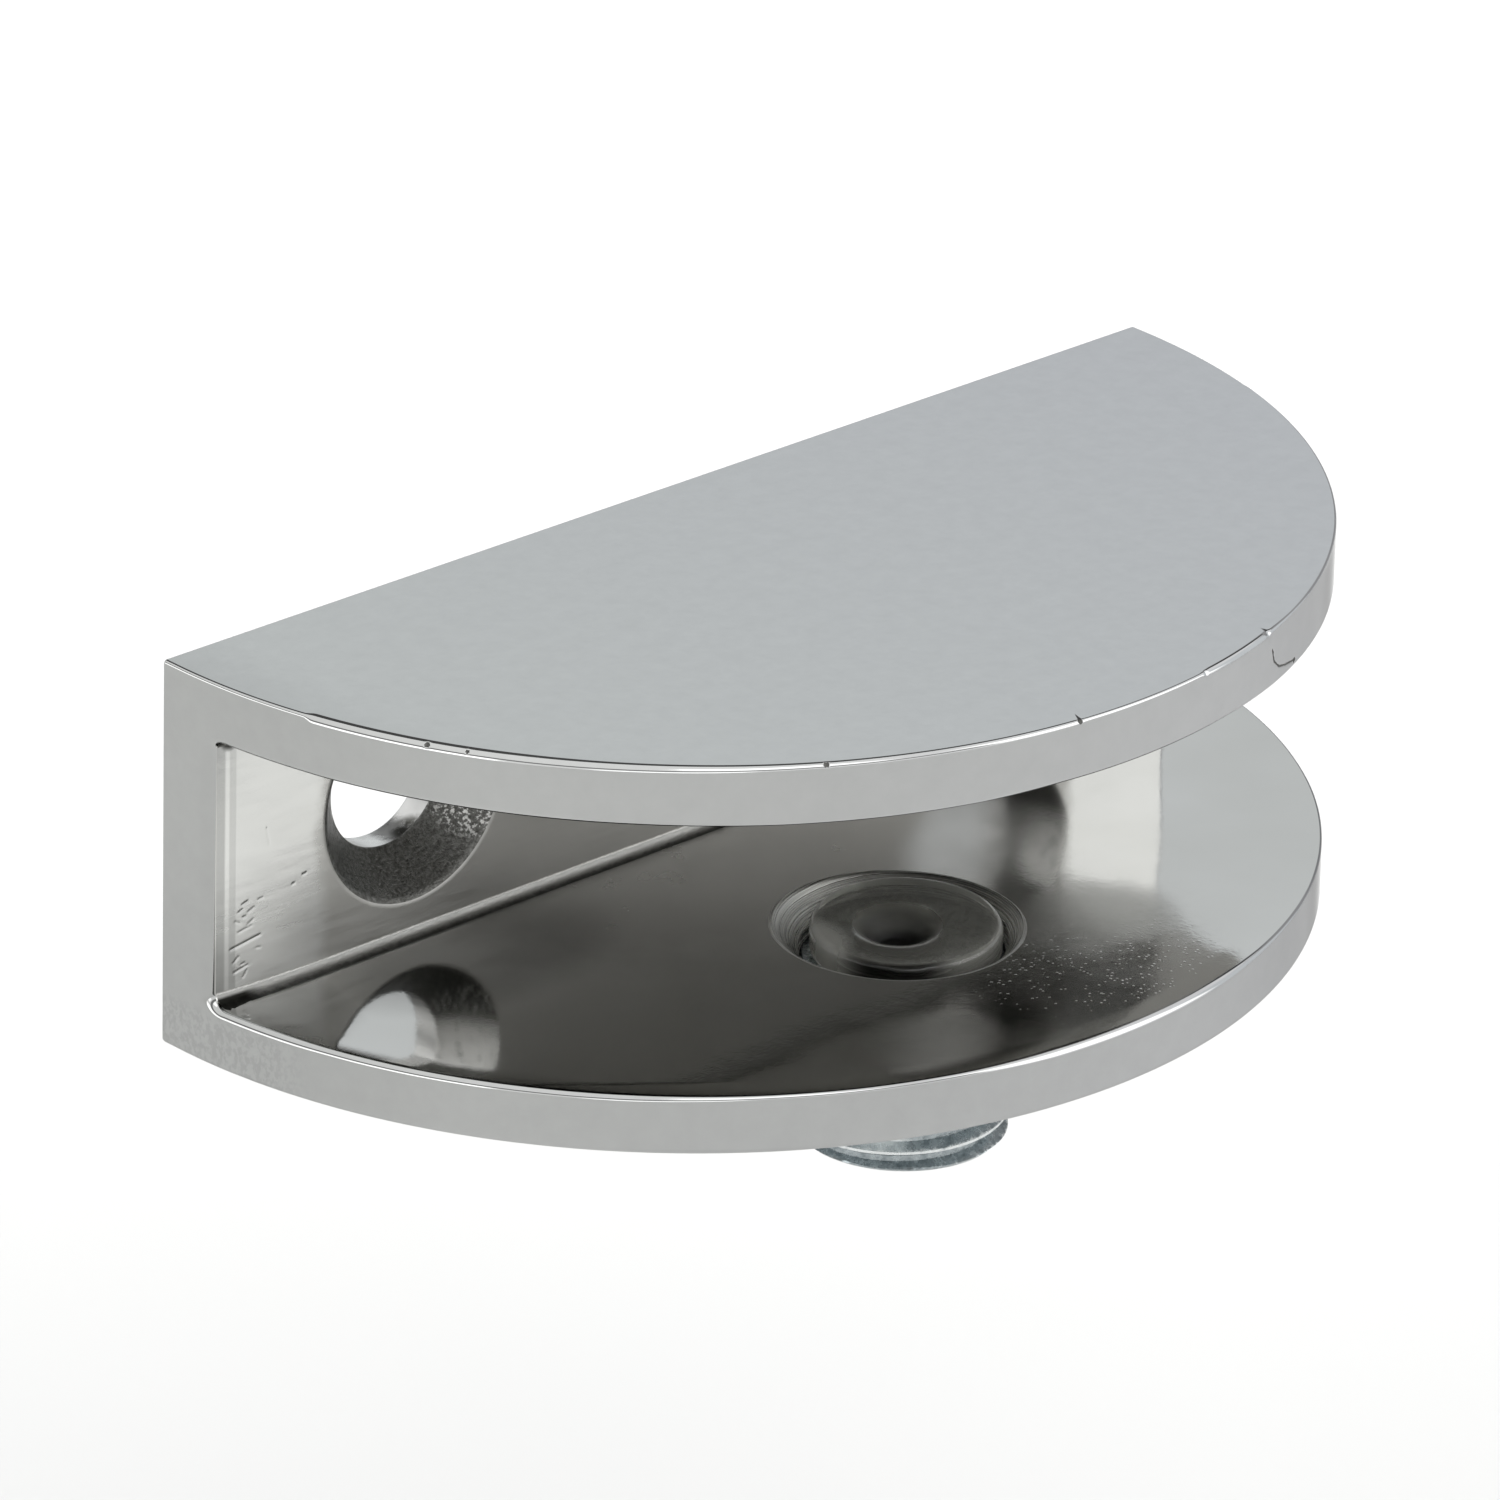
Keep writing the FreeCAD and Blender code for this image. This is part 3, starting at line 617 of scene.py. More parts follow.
# Slot faces.
loops = [(A_uv, A, A_n),
         (np.stack([bore_top[:, 1] - Y_F, bore_top[:, 0]], 1), bore_top, np.tile([0, 0, 1.0], (B_N, 1)))] + slot_holes
inner = [lattice(-27.5, -0.35, -29.6, 29.6, 0.5),
         lattice(L1 + 0.4, W3 - 0.4, -28.2, 28.2, 0.55),
         lattice(L1 + 0.4, W3 - 0.4, -29.3, -28.3, 0.35, 0.11), lattice(L1 + 0.4, W3 - 0.4, 28.3, 29.3, 0.35, 0.11),
         lattice(W4 + 0.6, W4 + 27.5, -29.6, 29.6, 0.9)]
for w0 in (0.0, W3):
    for k in range(9):
        x = np.arange(-29.2, 29.21, 0.4)
        inner.append(np.stack([0 * x + w0 + L1 * k / 8, x], 1))
for d in (0.5, 0.75, 1.0, 1.25, 1.5, 1.8):
    a = np.arange(0.1, math.pi - 0.1, 0.35 / R0)
    inner.append(np.stack([-SIDE - (R0 - d) * np.sin(a) - Y_F, (R0 - d) * np.cos(a)], 1))
for xa, za, xb, zb, _d in SCRATCH:
    inner.append(lattice(L1 - Z_A + min(za, zb) - 0.15, L1 - Z_A + max(za, zb) + 0.15, min(xa, xb) - 0.15, max(xa, xb) + 0.15, 0.06))
inner = np.concatenate(inner)
inner = inner[np.unique(np.round(inner / 0.05).astype(int), axis=0, return_index=True)[1]]


def finish(m):
    """Which finish a spot of the unrolled slot has."""
    w = m[:, 0]
    return np.select([w < -0.05, w < L1 * 1.02, w < W3, w < W4], [INSIDE, ROOT, WALLED, ROOT], UNDER)


body.fill(loops, inner, slot_surface, finish)

# Upper face, underside and the break round the wall face.
xs = np.linspace(R0 - EDGE_END, -(R0 - EDGE_END), 121)


def flat(z, nz):
    def surface(p):
        return xyz(p, z), np.tile([0, 0, float(nz)], (len(p), 1))
    return surface


for side, z in ((1, HT), (-1, 0.0)):
    arc = edge_rows[side][0][0]
    back_line = np.stack([xs[::-1][1:-1], 0 * xs[1:-1] - BACK, 0 * xs[1:-1] + z], 1)
    ring_xyz = np.concatenate([arc, back_line])
    ls = [(ring_xyz[:, :2], ring_xyz, np.tile([0, 0, float(side)], (len(ring_xyz), 1)))]
    if side < 0:
        ls.append((bore_low[:, :2], bore_low, np.tile([0, 0, -1.0], (B_N, 1))))
    body.fill(ls, lattice(-29.6, 29.6, -30.6, -0.4, 0.75), flat(z, side), OUTSIDE)

peri, peri_n = [], []
for x in xs[1:-1]:
    peri.append((x, HT)); peri_n.append((0, 1))
for k in range(K + 1):
    p, n = edge_rows[1][0][k][-1], edge_rows[1][1][k][-1]
    peri.append((p[0], p[2])); peri_n.append((n[0], n[2]))
for z in z_side[::-1][1:-1]:
    peri.append((-R0, z)); peri_n.append((-1, 0))
for k in range(K, -1, -1):
    p, n = edge_rows[-1][0][k][-1], edge_rows[-1][1][k][-1]
    peri.append((p[0], p[2])); peri_n.append((n[0], n[2]))
for x in xs[::-1][1:-1]:
    peri.append((x, 0)); peri_n.append((0, -1))
for k in range(K + 1):
    p, n = edge_rows[-1][0][k][0], edge_rows[-1][1][k][0]
    peri.append((p[0], p[2])); peri_n.append((n[0], n[2]))
for z in z_side[1:-1]:
    peri.append((R0, z)); peri_n.append((1, 0))
for k in range(K, -1, -1):
    p, n = edge_rows[1][0][k][0], edge_rows[1][1][k][0]
    peri.append((p[0], p[2])); peri_n.append((n[0], n[2]))
peri, peri_n = np.array(peri), np.array(peri_n)
rows, norms = [], []
for k in range(4):
    t3 = math.pi / 2 * k / 3
    pp = peri - peri_n * BACK * (1 - math.cos(t3))
    rows.append(np.stack([pp[:, 0], 0 * pp[:, 0] - BACK + BACK * math.sin(t3), pp[:, 1]], 1))
    norms.append(np.stack([peri_n[:, 0] * math.cos(t3), 0 * pp[:, 0] + math.sin(t3), peri_n[:, 1] * math.cos(t3)], 1))
body.strip(rows, norms, closed=True, mat=OUTSIDE)
last = rows[-1]
body.fill([(last[:, [0, 2]], last, np.tile([0, 1.0, 0], (len(last), 1)))] + back_holes,
          lattice(-29.4, 29.4, 0.5, 18.3, 1.2),
          lambda p: (np.stack([p[:, 0], 0 * p[:, 0], p[:, 1]], 1), np.tile([0, 1.0, 0], (len(p), 1))), OUTSIDE)

# ---------------------------------------------------------- hand-polished shape
waves = []
for count, lam, amp in ((14, 9.0, 1.0), (18, 4.5, 0.4), (16, 2.2, 0.12)):
    for _ in range(count):
        d = rng.normal(size=3)
        d /= np.linalg.norm(d)
        waves.append((d * 2 * math.pi / (lam * rng.uniform(0.75, 1.3)), rng.uniform(0, 6.28), amp / math.sqrt(count)))
nick_c = [(np.array([29.9 * math.cos(math.radians(a)), -SIDE - 29.9 * math.sin(math.radians(a)), z]), w, d)
          for a, z, w, d in NICKS]
peel = []
for _ in range(26):
    a = rng.uniform(0, math.pi)
    k = 2 * math.pi / rng.uniform(0.34, 0.62)
    peel.append((math.cos(a) * k, math.sin(a) * k, rng.uniform(0, 6.28)))
crack_p = np.array([(R0 * math.cos(math.radians(a)), -SIDE - R0 * math.sin(math.radians(a)), z) for a, z in CRACK])


def smooth(x, a, b):
    t = np.clip((x - a) / (b - a), 0, 1)
    return t * t * (3 - 2 * t)


def polish(p):
    """Height of the surface over its ideal shape: polishing waves, nicks and a dent line."""
    wave = np.zeros(len(p))
    for k, ph, a in waves:
        wave += a * np.sin(p @ k + ph)
    slot = smooth(p[:, 2], 2.0, 2.7) * (1 - smooth(p[:, 2], 16.1, 16.8)) * (1 - 0.7 * smooth(p[:, 2], 15.2, 15.8))
    quiet = smooth(-p[:, 1], 0.0, 0.8)
    h = wave * (0.0012 + 0.0045 * slot) * quiet
    for c, w, d in nick_c:
        r2 = np.sum((p - c) ** 2, axis=1)
        h -= d * np.exp(-r2 / (w * w))
    d_min = np.full(len(p), 9.0)
    for a, b in zip(crack_p, crack_p[1:]):
        ab = b - a
        u = np.clip(((p - a) @ ab) / (ab @ ab), 0, 1)
        d_min = np.minimum(d_min, np.linalg.norm(p - (a + u[:, None] * ab), axis=1))
    h = h - 0.035 * np.exp(-(d_min / 0.07) ** 2)
    # orange peel low on the left flank
    along = np.where(p[:, 1] > -SIDE, R0 * math.pi + p[:, 1] + SIDE, R0 * np.arctan2(-(p[:, 1] + SIDE), p[:, 0]))
    skin = smooth(-p[:, 0], 28.7, 29.4) * (1 - smooth(p[:, 2], 1.8, 2.4)) * smooth(np.hypot(p[:, 0], np.minimum(p[:, 1] + SIDE, 0)), 29.8, 29.95)
    on = skin > 0
    if on.any():
        bumps = sum(np.sin(along[on] * a + p[on, 2] * b + c) for a, b, c in peel)
        h[on] -= 0.0007 * skin[on] * np.abs(bumps)
    # faint upright line on the left flank
    flank = (p[:, 0] < -29.5) & (p[:, 1] < -0.6)
    h[flank] -= 0.006 * np.exp(-((p[flank, 1] + 1.6) / 0.14) ** 2) * smooth(p[flank, 2], 2.5, 3.5) * (1 - smooth(p[flank, 2], 9, 13))
    # scratches and pits in the wall plate
    on = (np.abs(p[:, 1] + WALL) < 0.8) & (p[:, 0] < -23) & (p[:, 2] > PLATE + 0.4) & (p[:, 2] < 15)
    if on.any():
        q2 = p[on][:, [0, 2]]
        dent = np.zeros(len(q2))
        for xa, za, xb, zb, d in SCRATCH:
            a, ab = np.array([xa, za]), np.array([xb - xa, zb - za])
            u = np.clip(((q2 - a) @ ab) / (ab @ ab), 0, 1)
            dent += d * np.exp(-(np.linalg.norm(q2 - (a + u[:, None] * ab), axis=1) / 0.07) ** 2)
        h[on] -= dent
    return h


# ------------------------------------------------------------------- materials
def material(name):
    m = bpy.data.materials.new(name)
    m.use_nodes = True
    nt = m.node_tree
    bsdf = next(n for n in nt.nodes if n.type == "BSDF_PRINCIPLED")
    return m, nt, bsdf


def node(nt, kind, **sets):
    n = nt.nodes.new(kind)
    for k, v in sets.items():
        if k in n.inputs:
            n.inputs[k].default_value = v
        else:
            setattr(n, k, v)
    return n


def place(nt, stretch=(1, 1, 1), turn=(0, 0, 0)):
    """Object coordinates, turned and stretched."""
    co = node(nt, "ShaderNodeTexCoord").outputs["Object"]
    if stretch == (1, 1, 1) and turn == (0, 0, 0):
        return co
    mp = node(nt, "ShaderNodeMapping")
    mp.inputs["Scale"].default_value = stretch
    mp.inputs["Rotation"].default_value = turn
    nt.links.new(co, mp.inputs["Vector"])
    return mp.outputs["Vector"]


def noise(nt, coord, scale, detail=2.0, rough=0.5):
    n = node(nt, "ShaderNodeTexNoise", Scale=scale, Detail=detail, Roughness=rough)
    nt.links.new(coord, n.inputs["Vector"])
    return n.outputs["Fac"]


def ramp(nt, value, stops):
    r = nt.nodes.new("ShaderNodeValToRGB")
    els = r.color_ramp.elements
    while len(els) < len(stops):
        els.new(0.5)
    for e, (pos, col) in zip(els, stops):
        e.position = pos
        e.color = col if len(col) == 4 else (*col, 1)
    nt.links.new(value, r.inputs["Fac"])
    return r.outputs["Color"]


def to_range(nt, value, a, b, c, d, soft=False):
    n = node(nt, "ShaderNodeMapRange")
    if soft:
        n.interpolation_type = "SMOOTHSTEP"
    n.inputs["From Min"].default_value, n.inputs["From Max"].default_value = a, b
    n.inputs["To Min"].default_value, n.inputs["To Max"].default_value = c, d
    nt.links.new(value, n.inputs["Value"])
    return n.outputs["Result"]


def calc(nt, op, a, b=None, c=None):
    n = node(nt, "ShaderNodeMath", operation=op)
    for i, v in enumerate((a, b, c)):
        if v is None:
            continue
        if isinstance(v, (int, float)):
            n.inputs[i].default_value = v
        else:
            nt.links.new(v, n.inputs[i])
    return n.outputs["Value"]


def mix(nt, fac, a, b):
    n = node(nt, "ShaderNodeMixRGB")
    for k, v in (("Fac", fac), ("Color1", a), ("Color2", b)):
        if isinstance(v, (tuple, list)):
            n.inputs[k].default_value = (*v, 1) if len(v) == 3 else v
        else:
            nt.links.new(v, n.inputs[k])
    return n.outputs["Color"]


def spot(nt, xyz_out, at, size):
    """Soft round mask of the given half widths (mm) about a point (mm, part's frame)."""
    d2 = None
    for o, c, w in zip(xyz_out, at, size):
        if w is None:
            continue
        d = calc(nt, "MULTIPLY", calc(nt, "SUBTRACT", o, c * MM), 1 / (w * MM))
        d = calc(nt, "MULTIPLY", d, d)
        d2 = d if d2 is None else calc(nt, "ADD", d2, d)
    return to_range(nt, d2, 0.15, 1.0, 1.0, 0.0, True)


def axes(nt):
    n = node(nt, "ShaderNodeSeparateXYZ")
    nt.links.new(node(nt, "ShaderNodeTexCoord").outputs["Object"], n.inputs["Vector"])
    return [n.outputs[k] for k in "XYZ"]


def bump(nt, bsdf, height, distance, strength=1.0):
    b = node(nt, "ShaderNodeBump", Strength=strength)
    b.inputs["Distance"].default_value = distance
    nt.links.new(height, b.inputs["Height"])
    nt.links.new(b.outputs["Normal"], bsdf.inputs["Normal"])


def chrome(name, tint, rough_lo, rough_hi, grain, peel, edge=0.8):
    m, nt, b = material(name)
    co = place(nt)
    b.inputs["Metallic"].default_value = 1.0
    b.inputs["Specular Tint"].default_value = (edge, edge, edge, 1)
    col = ramp(nt, noise(nt, co, 160, 3), [(0.3, [c * 0.975 for c in tint]), (0.7, tint)])
    nt.links.new(col, b.inputs["Base Color"])
    nt.links.new(to_range(nt, noise(nt, co, 420, 4, 0.6), 0.3, 0.7, rough_lo, rough_hi), b.inputs["Roughness"])
    bump(nt, b, noise(nt, co, peel, 3, 0.6), grain * 1e-5)
    return m


m_under = chrome("chrome_under", (0.31, 0.305, 0.29), 0.10, 0.2, 1.0, 2500)
nt = m_under.node_tree
b = next(n for n in nt.nodes if n.type == "BSDF_PRINCIPLED")
under_col = b.inputs["Base Color"].links[0].from_socket
# painted shade: a darker patch on the underside of the upper plate, right of the middle
under_shade = spot(nt, axes(nt), (20.5, -8.4, 0), (5.0, 4.2, None))
nt.links.new(mix(nt, under_shade, under_col, (0.15, 0.148, 0.142)), b.inputs["Base Color"])
m_dark = chrome("chrome_pit", (0.10, 0.10, 0.095), 0.35, 0.6, 4.0, 3000)
m_land, nt, b = material("chrome_hole")
b.inputs["Metallic"].default_value = 1.0
b.inputs["Specular Tint"].default_value = (0.8, 0.8, 0.8, 1)
co, (ox, oy, oz) = place(nt), axes(nt)
# painted shade: a dark patch, broken up by noise, low in the bore of the left-hand wall hole
hole_shade = spot(nt, (ox, oy, oz), (-16.6, -1.4, -3.0), (1.0, 1.1, 1.4))
hole_shade = calc(nt, "MULTIPLY", hole_shade, to_range(nt, noise(nt, co, 1300, 3, 0.6), 0.35, 0.55, 0.2, 1.0, True))
col = ramp(nt, noise(nt, co, 500, 3), [(0.3, (0.60, 0.60, 0.585)), (0.7, (0.72, 0.72, 0.71))])
nt.links.new(mix(nt, hole_shade, col, (0.10, 0.10, 0.09)), b.inputs["Base Color"])
nt.links.new(to_range(nt, noise(nt, co, 600, 3), 0.3, 0.7, 0.2, 0.4), b.inputs["Roughness"])
bump(nt, b, noise(nt, co, 1500, 3, 0.6), 1.5e-5)

# fillets of the slot: grainy, with a painted highlight along the top of the lower fillet, painted shade at its foot and
# at its left end, and painted shade along the upper fillet except at its right end
m_root, nt, b = material("chrome_fillet")
b.inputs["Metallic"].default_value = 1.0
b.inputs["Specular Tint"].default_value = (0.8, 0.8, 0.8, 1)
co, (ox, oy, oz) = place(nt), axes(nt)
grains = noise(nt, co, 3600, 4, 0.7)
up_f = calc(nt, "ADD", to_range(nt, oz, -0.0071, -0.0066, 0.0, 1.0), calc(nt, "MULTIPLY", calc(nt, "SUBTRACT", grains, 0.5), 0.22))
# painted highlight and painted shade: a light band high on the lower fillet, dark at its foot
col = ramp(nt, up_f, [(0.0, (0.10, 0.10, 0.094)), (0.08, (0.22, 0.22, 0.21)), (0.18, (0.42, 0.42, 0.405)),
                      (0.74, (0.42, 0.42, 0.41)), (0.86, (0.85, 0.85, 0.83)), (0.97, (0.55, 0.55, 0.53))])
# painted shade: the left end of the lower fillet is made near black
end = calc(nt, "MULTIPLY", to_range(nt, ox, -0.0281, -0.0268, 1.0, 0.0, True), to_range(nt, oz, -0.0069, -0.00675, 1.0, 0.0, True))
col = mix(nt, end, col, (0.03, 0.03, 0.027))
# painted shade: the upper fillet is dark except at its right end
upper_fillet_shade = ramp(nt, to_range(nt, ox, 0.0, 0.03, 0.0, 1.0), [(0.80, (0.15, 0.15, 0.14)), (0.88, (0.6, 0.6, 0.58))])
nt.links.new(mix(nt, to_range(nt, oz, 0.003, 0.004, 0.0, 1.0), col, upper_fillet_shade), b.inputs["Base Color"])
nt.links.new(to_range(nt, grains, 0.3, 0.7, 0.36, 0.56), b.inputs["Roughness"])
bump(nt, b, grains, 3e-5)


def ring(nt, xyz_out):
    """Distance from the axis of the bore and the screw."""
    dy = calc(nt, "SUBTRACT", xyz_out[1], BORE_Y * MM)
    return calc(nt, "SQRT", calc(nt, "ADD", calc(nt, "MULTIPLY", xyz_out[0], xyz_out[0]), calc(nt, "MULTIPLY", dy, dy)))


# rim and thread of the bore: turned, with fine rings
m_tap, nt, b = material("chrome_thread")
b.inputs["Metallic"].default_value = 1.0
b.inputs["Specular Tint"].default_value = (0.8, 0.8, 0.8, 1)
co, (ox, oy, oz) = place(nt), axes(nt)
lines = node(nt, "ShaderNodeTexNoise", noise_dimensions="1D", Scale=9000.0, Detail=3.0, Roughness=0.6)
nt.links.new(calc(nt, "ADD", calc(nt, "ADD", ring(nt, (ox, oy, oz)), oz), calc(nt, "MULTIPLY", noise(nt, co, 300, 2), 0.0002)), lines.inputs["W"])
nt.links.new(ramp(nt, lines.outputs["Fac"], [(0.34, (0.22, 0.22, 0.21)), (0.62, (0.62, 0.62, 0.60))]), b.inputs["Base Color"])
nt.links.new(to_range(nt, lines.outputs["Fac"], 0.3, 0.7, 0.20, 0.38), b.inputs["Roughness"])
bump(nt, b, lines.outputs["Fac"], 2.5e-5)

# zinc plated steel: blue grey flanks, with a painted highlight along the crests and a painted highlight patch low on
# the left
m_zinc, nt, b = material("zinc_plated_steel")
b.inputs["Metallic"].default_value = 1.0
b.inputs["Specular Tint"].default_value = (0.8, 0.8, 0.8, 1)
co, (ox, oy, oz) = place(nt), axes(nt)
rough_n = noise(nt, co, 2600, 4, 0.65)
# painted highlight: the thread crests are made near white
zone = to_range(nt, calc(nt, "ADD", ring(nt, (ox, oy, oz)), calc(nt, "MULTIPLY", calc(nt, "SUBTRACT", rough_n, 0.5), 0.0004)), 0.00484, 0.00494, 0.0, 1.0, True)
col = ramp(nt, rough_n, [(0.33, (0.24, 0.275, 0.29)), (0.62, (0.47, 0.515, 0.53))])
# painted highlight: a lighter patch low on the screw, left of the middle
col = mix(nt, spot(nt, (ox, oy, oz), (-4.0, -19.5, -16.1), (1.9, 1.9, 0.55)), col, (0.82, 0.85, 0.85))
nt.links.new(mix(nt, zone, col, (0.85, 0.88, 0.88)), b.inputs["Base Color"])
nt.links.new(to_range(nt, rough_n, 0.3, 0.7, 0.16, 0.34), b.inputs["Roughness"])
bump(nt, b, rough_n, 4e-5)

# countersinks: dark and grainy, with painted light at the upper right of the left one and on the right one, and painted
# glints low on the right of the left one
m_cast, nt, b = material("chrome_countersink")
b.inputs["Metallic"].default_value = 1.0
b.inputs["Specular Tint"].default_value = (0.8, 0.8, 0.8, 1)
co, (ox, oy, oz) = place(nt), axes(nt)
grains = noise(nt, co, 5600, 4, 0.7)
# painted light: near-white patches on the cones, broken up by noise
lit_patches = calc(nt, "ADD", spot(nt, (ox, oy, oz), (-14.0, 0, 0.5), (2.4, None, 2.3)), spot(nt, (ox, oy, oz), (22.7, 0, 1.0), (1.6, None, 2.2)))
lit_patches = calc(nt, "MULTIPLY", lit_patches, to_range(nt, noise(nt, co, 2600, 3, 0.6), 0.30, 0.48, 0.4, 1.0, True))
# painted glints: bright specks low on the right of the left cone
glint_specks = calc(nt, "MULTIPLY", spot(nt, (ox, oy, oz), (-14.2, 0, -2.4), (1.5, None, 1.2)), to_range(nt, noise(nt, co, 5600, 2, 0.6), 0.5, 0.62, 0.0, 0.7, True))
lit_patches = calc(nt, "MAXIMUM", lit_patches, glint_specks)
col = ramp(nt, grains, [(0.35, (0.10, 0.10, 0.092)), (0.6, (0.23, 0.23, 0.22))])
nt.links.new(mix(nt, lit_patches, col, (0.95, 0.95, 0.93)), b.inputs["Base Color"])
nt.links.new(to_range(nt, noise(nt, co, 1500, 3), 0.3, 0.7, 0.30, 0.5), b.inputs["Roughness"])
bump(nt, b, grains, 5e-5)

# outer faces: bright, with painted shade low down and on the left flank, a mottled tone low on the left flank, and
# painted shade with a weaker grazing reflection on the right
m_out, nt, b = material("chrome_polished")
b.inputs["Metallic"].default_value = 1.0
co, (ox, oy, oz) = place(nt), axes(nt)
# painted shade: darker low down and towards the left flank
reflected_shade = calc(nt, "MULTIPLY", to_range(nt, oz, -0.0065, 0.0035, 0.92, 1.0, True), to_range(nt, ox, -0.030, -0.0255, 0.92, 1.0, True))
tone = calc(nt, "MULTIPLY", reflected_shade, to_range(nt, noise(nt, co, 900, 5, 0.65), 0.3, 0.7, 0.955, 1.005))
worm = noise(nt, place(nt, (1, 1, 0.75), (0.6, 0, 0)), 3600, 2, 0.55)
low_left = calc(nt, "MULTIPLY", to_range(nt, ox, -0.0295, -0.0288, 1.0, 0.0, True), to_range(nt, oz, -0.0080, -0.0070, 1.0, 0.0, True))
tone = calc(nt, "SUBTRACT", tone, calc(nt, "MULTIPLY", low_left, to_range(nt, worm, 0.4, 0.6, 0.075, -0.02, True)))
# painted shade: the outer faces at the right are darker, most low down, and reflect less at grazing angles
rim = calc(nt, "MULTIPLY", to_range(nt, ox, 0.0155, 0.0185, 0.0, 1.0, True), to_range(nt, oz, 0.0084, 0.0087, 1.0, 0.0, True))
tone = calc(nt, "SUBTRACT", tone, calc(nt, "MULTIPLY", rim, to_range(nt, oz, -0.007, 0.006, 0.12, 0.05)))
nt.links.new(mix(nt, rim, (0.62, 0.62, 0.62), (0.45, 0.45, 0.45)), b.inputs["Specular Tint"])
shade = node(nt, "ShaderNodeMixRGB", blend_type="MULTIPLY")
shade.inputs["Fac"].default_value = 1.0
nt.links.new(mix(nt, to_range(nt, ox, -0.028, 0.026, 0.0, 1.0), (0.565, 0.572, 0.562), (0.550, 0.554, 0.570)), shade.inputs["Color1"])
nt.links.new(tone, shade.inputs["Color2"])
nt.links.new(shade.outputs["Color"], b.inputs["Base Color"])
nt.links.new(to_range(nt, noise(nt, co, 420, 4, 0.6), 0.3, 0.7, 0.05, 0.09), b.inputs["Roughness"])
bump(nt, b, noise(nt, co, 1500, 3, 0.6), 1e-6)

# inner face of the lower plate: bright at the front; towards the wall plate hazy, with painted shade that darkens to
# the left, painted dark reflections before the left-hand hole and at the left end, and a grainy patch right of the pad
m_in, nt, b = material("chrome_slot")
b.inputs["Metallic"].default_value = 1.0
b.inputs["Specular Tint"].default_value = (0.7, 0.7, 0.7, 1)
co, (ox, oy, oz) = place(nt), axes(nt)
out_r = calc(nt, "SQRT", calc(nt, "ADD", calc(nt, "MULTIPLY", ox, ox), calc(nt, "MULTIPLY", calc(nt, "ADD", oy, 0.001), calc(nt, "ADD", oy, 0.001))))
haze_and_shade = to_range(nt, calc(nt, "ADD", out_r, calc(nt, "MULTIPLY", noise(nt, co, 350, 3), 0.004)), 0.015, 0.021, 1.0, 0.0, True)
col = ramp(nt, noise(nt, co, 120, 4), [(0.3, (0.52, 0.52, 0.505)), (0.7, (0.56, 0.56, 0.55))])
# painted shade deep in the slot: darker towards the left
deep = ramp(nt, to_range(nt, ox, -0.020, 0.0, 0.0, 1.0), [(0.0, (0.28, 0.277, 0.266)), (0.85, (0.47, 0.466, 0.45))])
col = mix(nt, haze_and_shade, col, deep)
# painted reflection: dark patches before the left-hand hole and at the left end
dark_reflection = calc(nt, "MULTIPLY", spot(nt, (ox, oy, oz), (-17.2, -6.6, 0), (9.0, 5.6, None)), 0.45)
dark_reflection = calc(nt, "MAXIMUM", dark_reflection, calc(nt, "MULTIPLY", spot(nt, (ox, oy, oz), (-27.6, -5.0, 0), (4.6, 4.6, None)), 0.32))
nt.links.new(mix(nt, dark_reflection, col, (0.10, 0.10, 0.095)), b.inputs["Base Color"])
grit = spot(nt, (ox, oy, oz), (3.4, -25.5, 0), (7.0, 4.6, None))
grit = calc(nt, "MULTIPLY", grit, to_range(nt, noise(nt, co, 420, 3, 0.6), 0.36, 0.58, 0.0, 1.0, True))
rough = to_range(nt, noise(nt, co, 300, 4, 0.6), 0.3, 0.7, 0.05, 0.09)
rough = calc(nt, "ADD", rough, calc(nt, "MULTIPLY", haze_and_shade, 0.19))
soft = spot(nt, (ox, oy, oz), (-7.8, -26.6, 0), (4.5, 3.6, None))
rough = calc(nt, "ADD", rough, calc(nt, "MULTIPLY", soft, 0.13))
zone = spot(nt, (ox, oy, oz), (6.4, -21.8, 0), (5.5, 4.2, None))
rough = calc(nt, "ADD", rough, calc(nt, "MULTIPLY", zone, 0.13))
rough = calc(nt, "ADD", rough, calc(nt, "MULTIPLY", grit, 0.06))
nt.links.new(rough, b.inputs["Roughness"])
cells = node(nt, "ShaderNodeTexVoronoi", Scale=4300.0)
nt.links.new(co, cells.inputs["Vector"])
pick = node(nt, "ShaderNodeSeparateXYZ")
nt.links.new(cells.outputs["Color"], pick.inputs["Vector"])
dots = calc(nt, "MULTIPLY", to_range(nt, cells.outputs["Distance"], 0.04, 0.32, 1.0, 0.0, True), to_range(nt, pick.outputs["X"], 0.5, 0.75, 0.0, 1.0))
dots = calc(nt, "MULTIPLY", dots, to_range(nt, pick.outputs["Y"], 0.0, 1.0, 0.25, 1.25))
tall = calc(nt, "ADD", calc(nt, "MULTIPLY", dots, calc(nt, "MULTIPLY", grit, 2.8)), calc(nt, "MULTIPLY", noise(nt, co, 2600, 3, 0.6), 0.12))
bump(nt, b, tall, 1.6e-5)

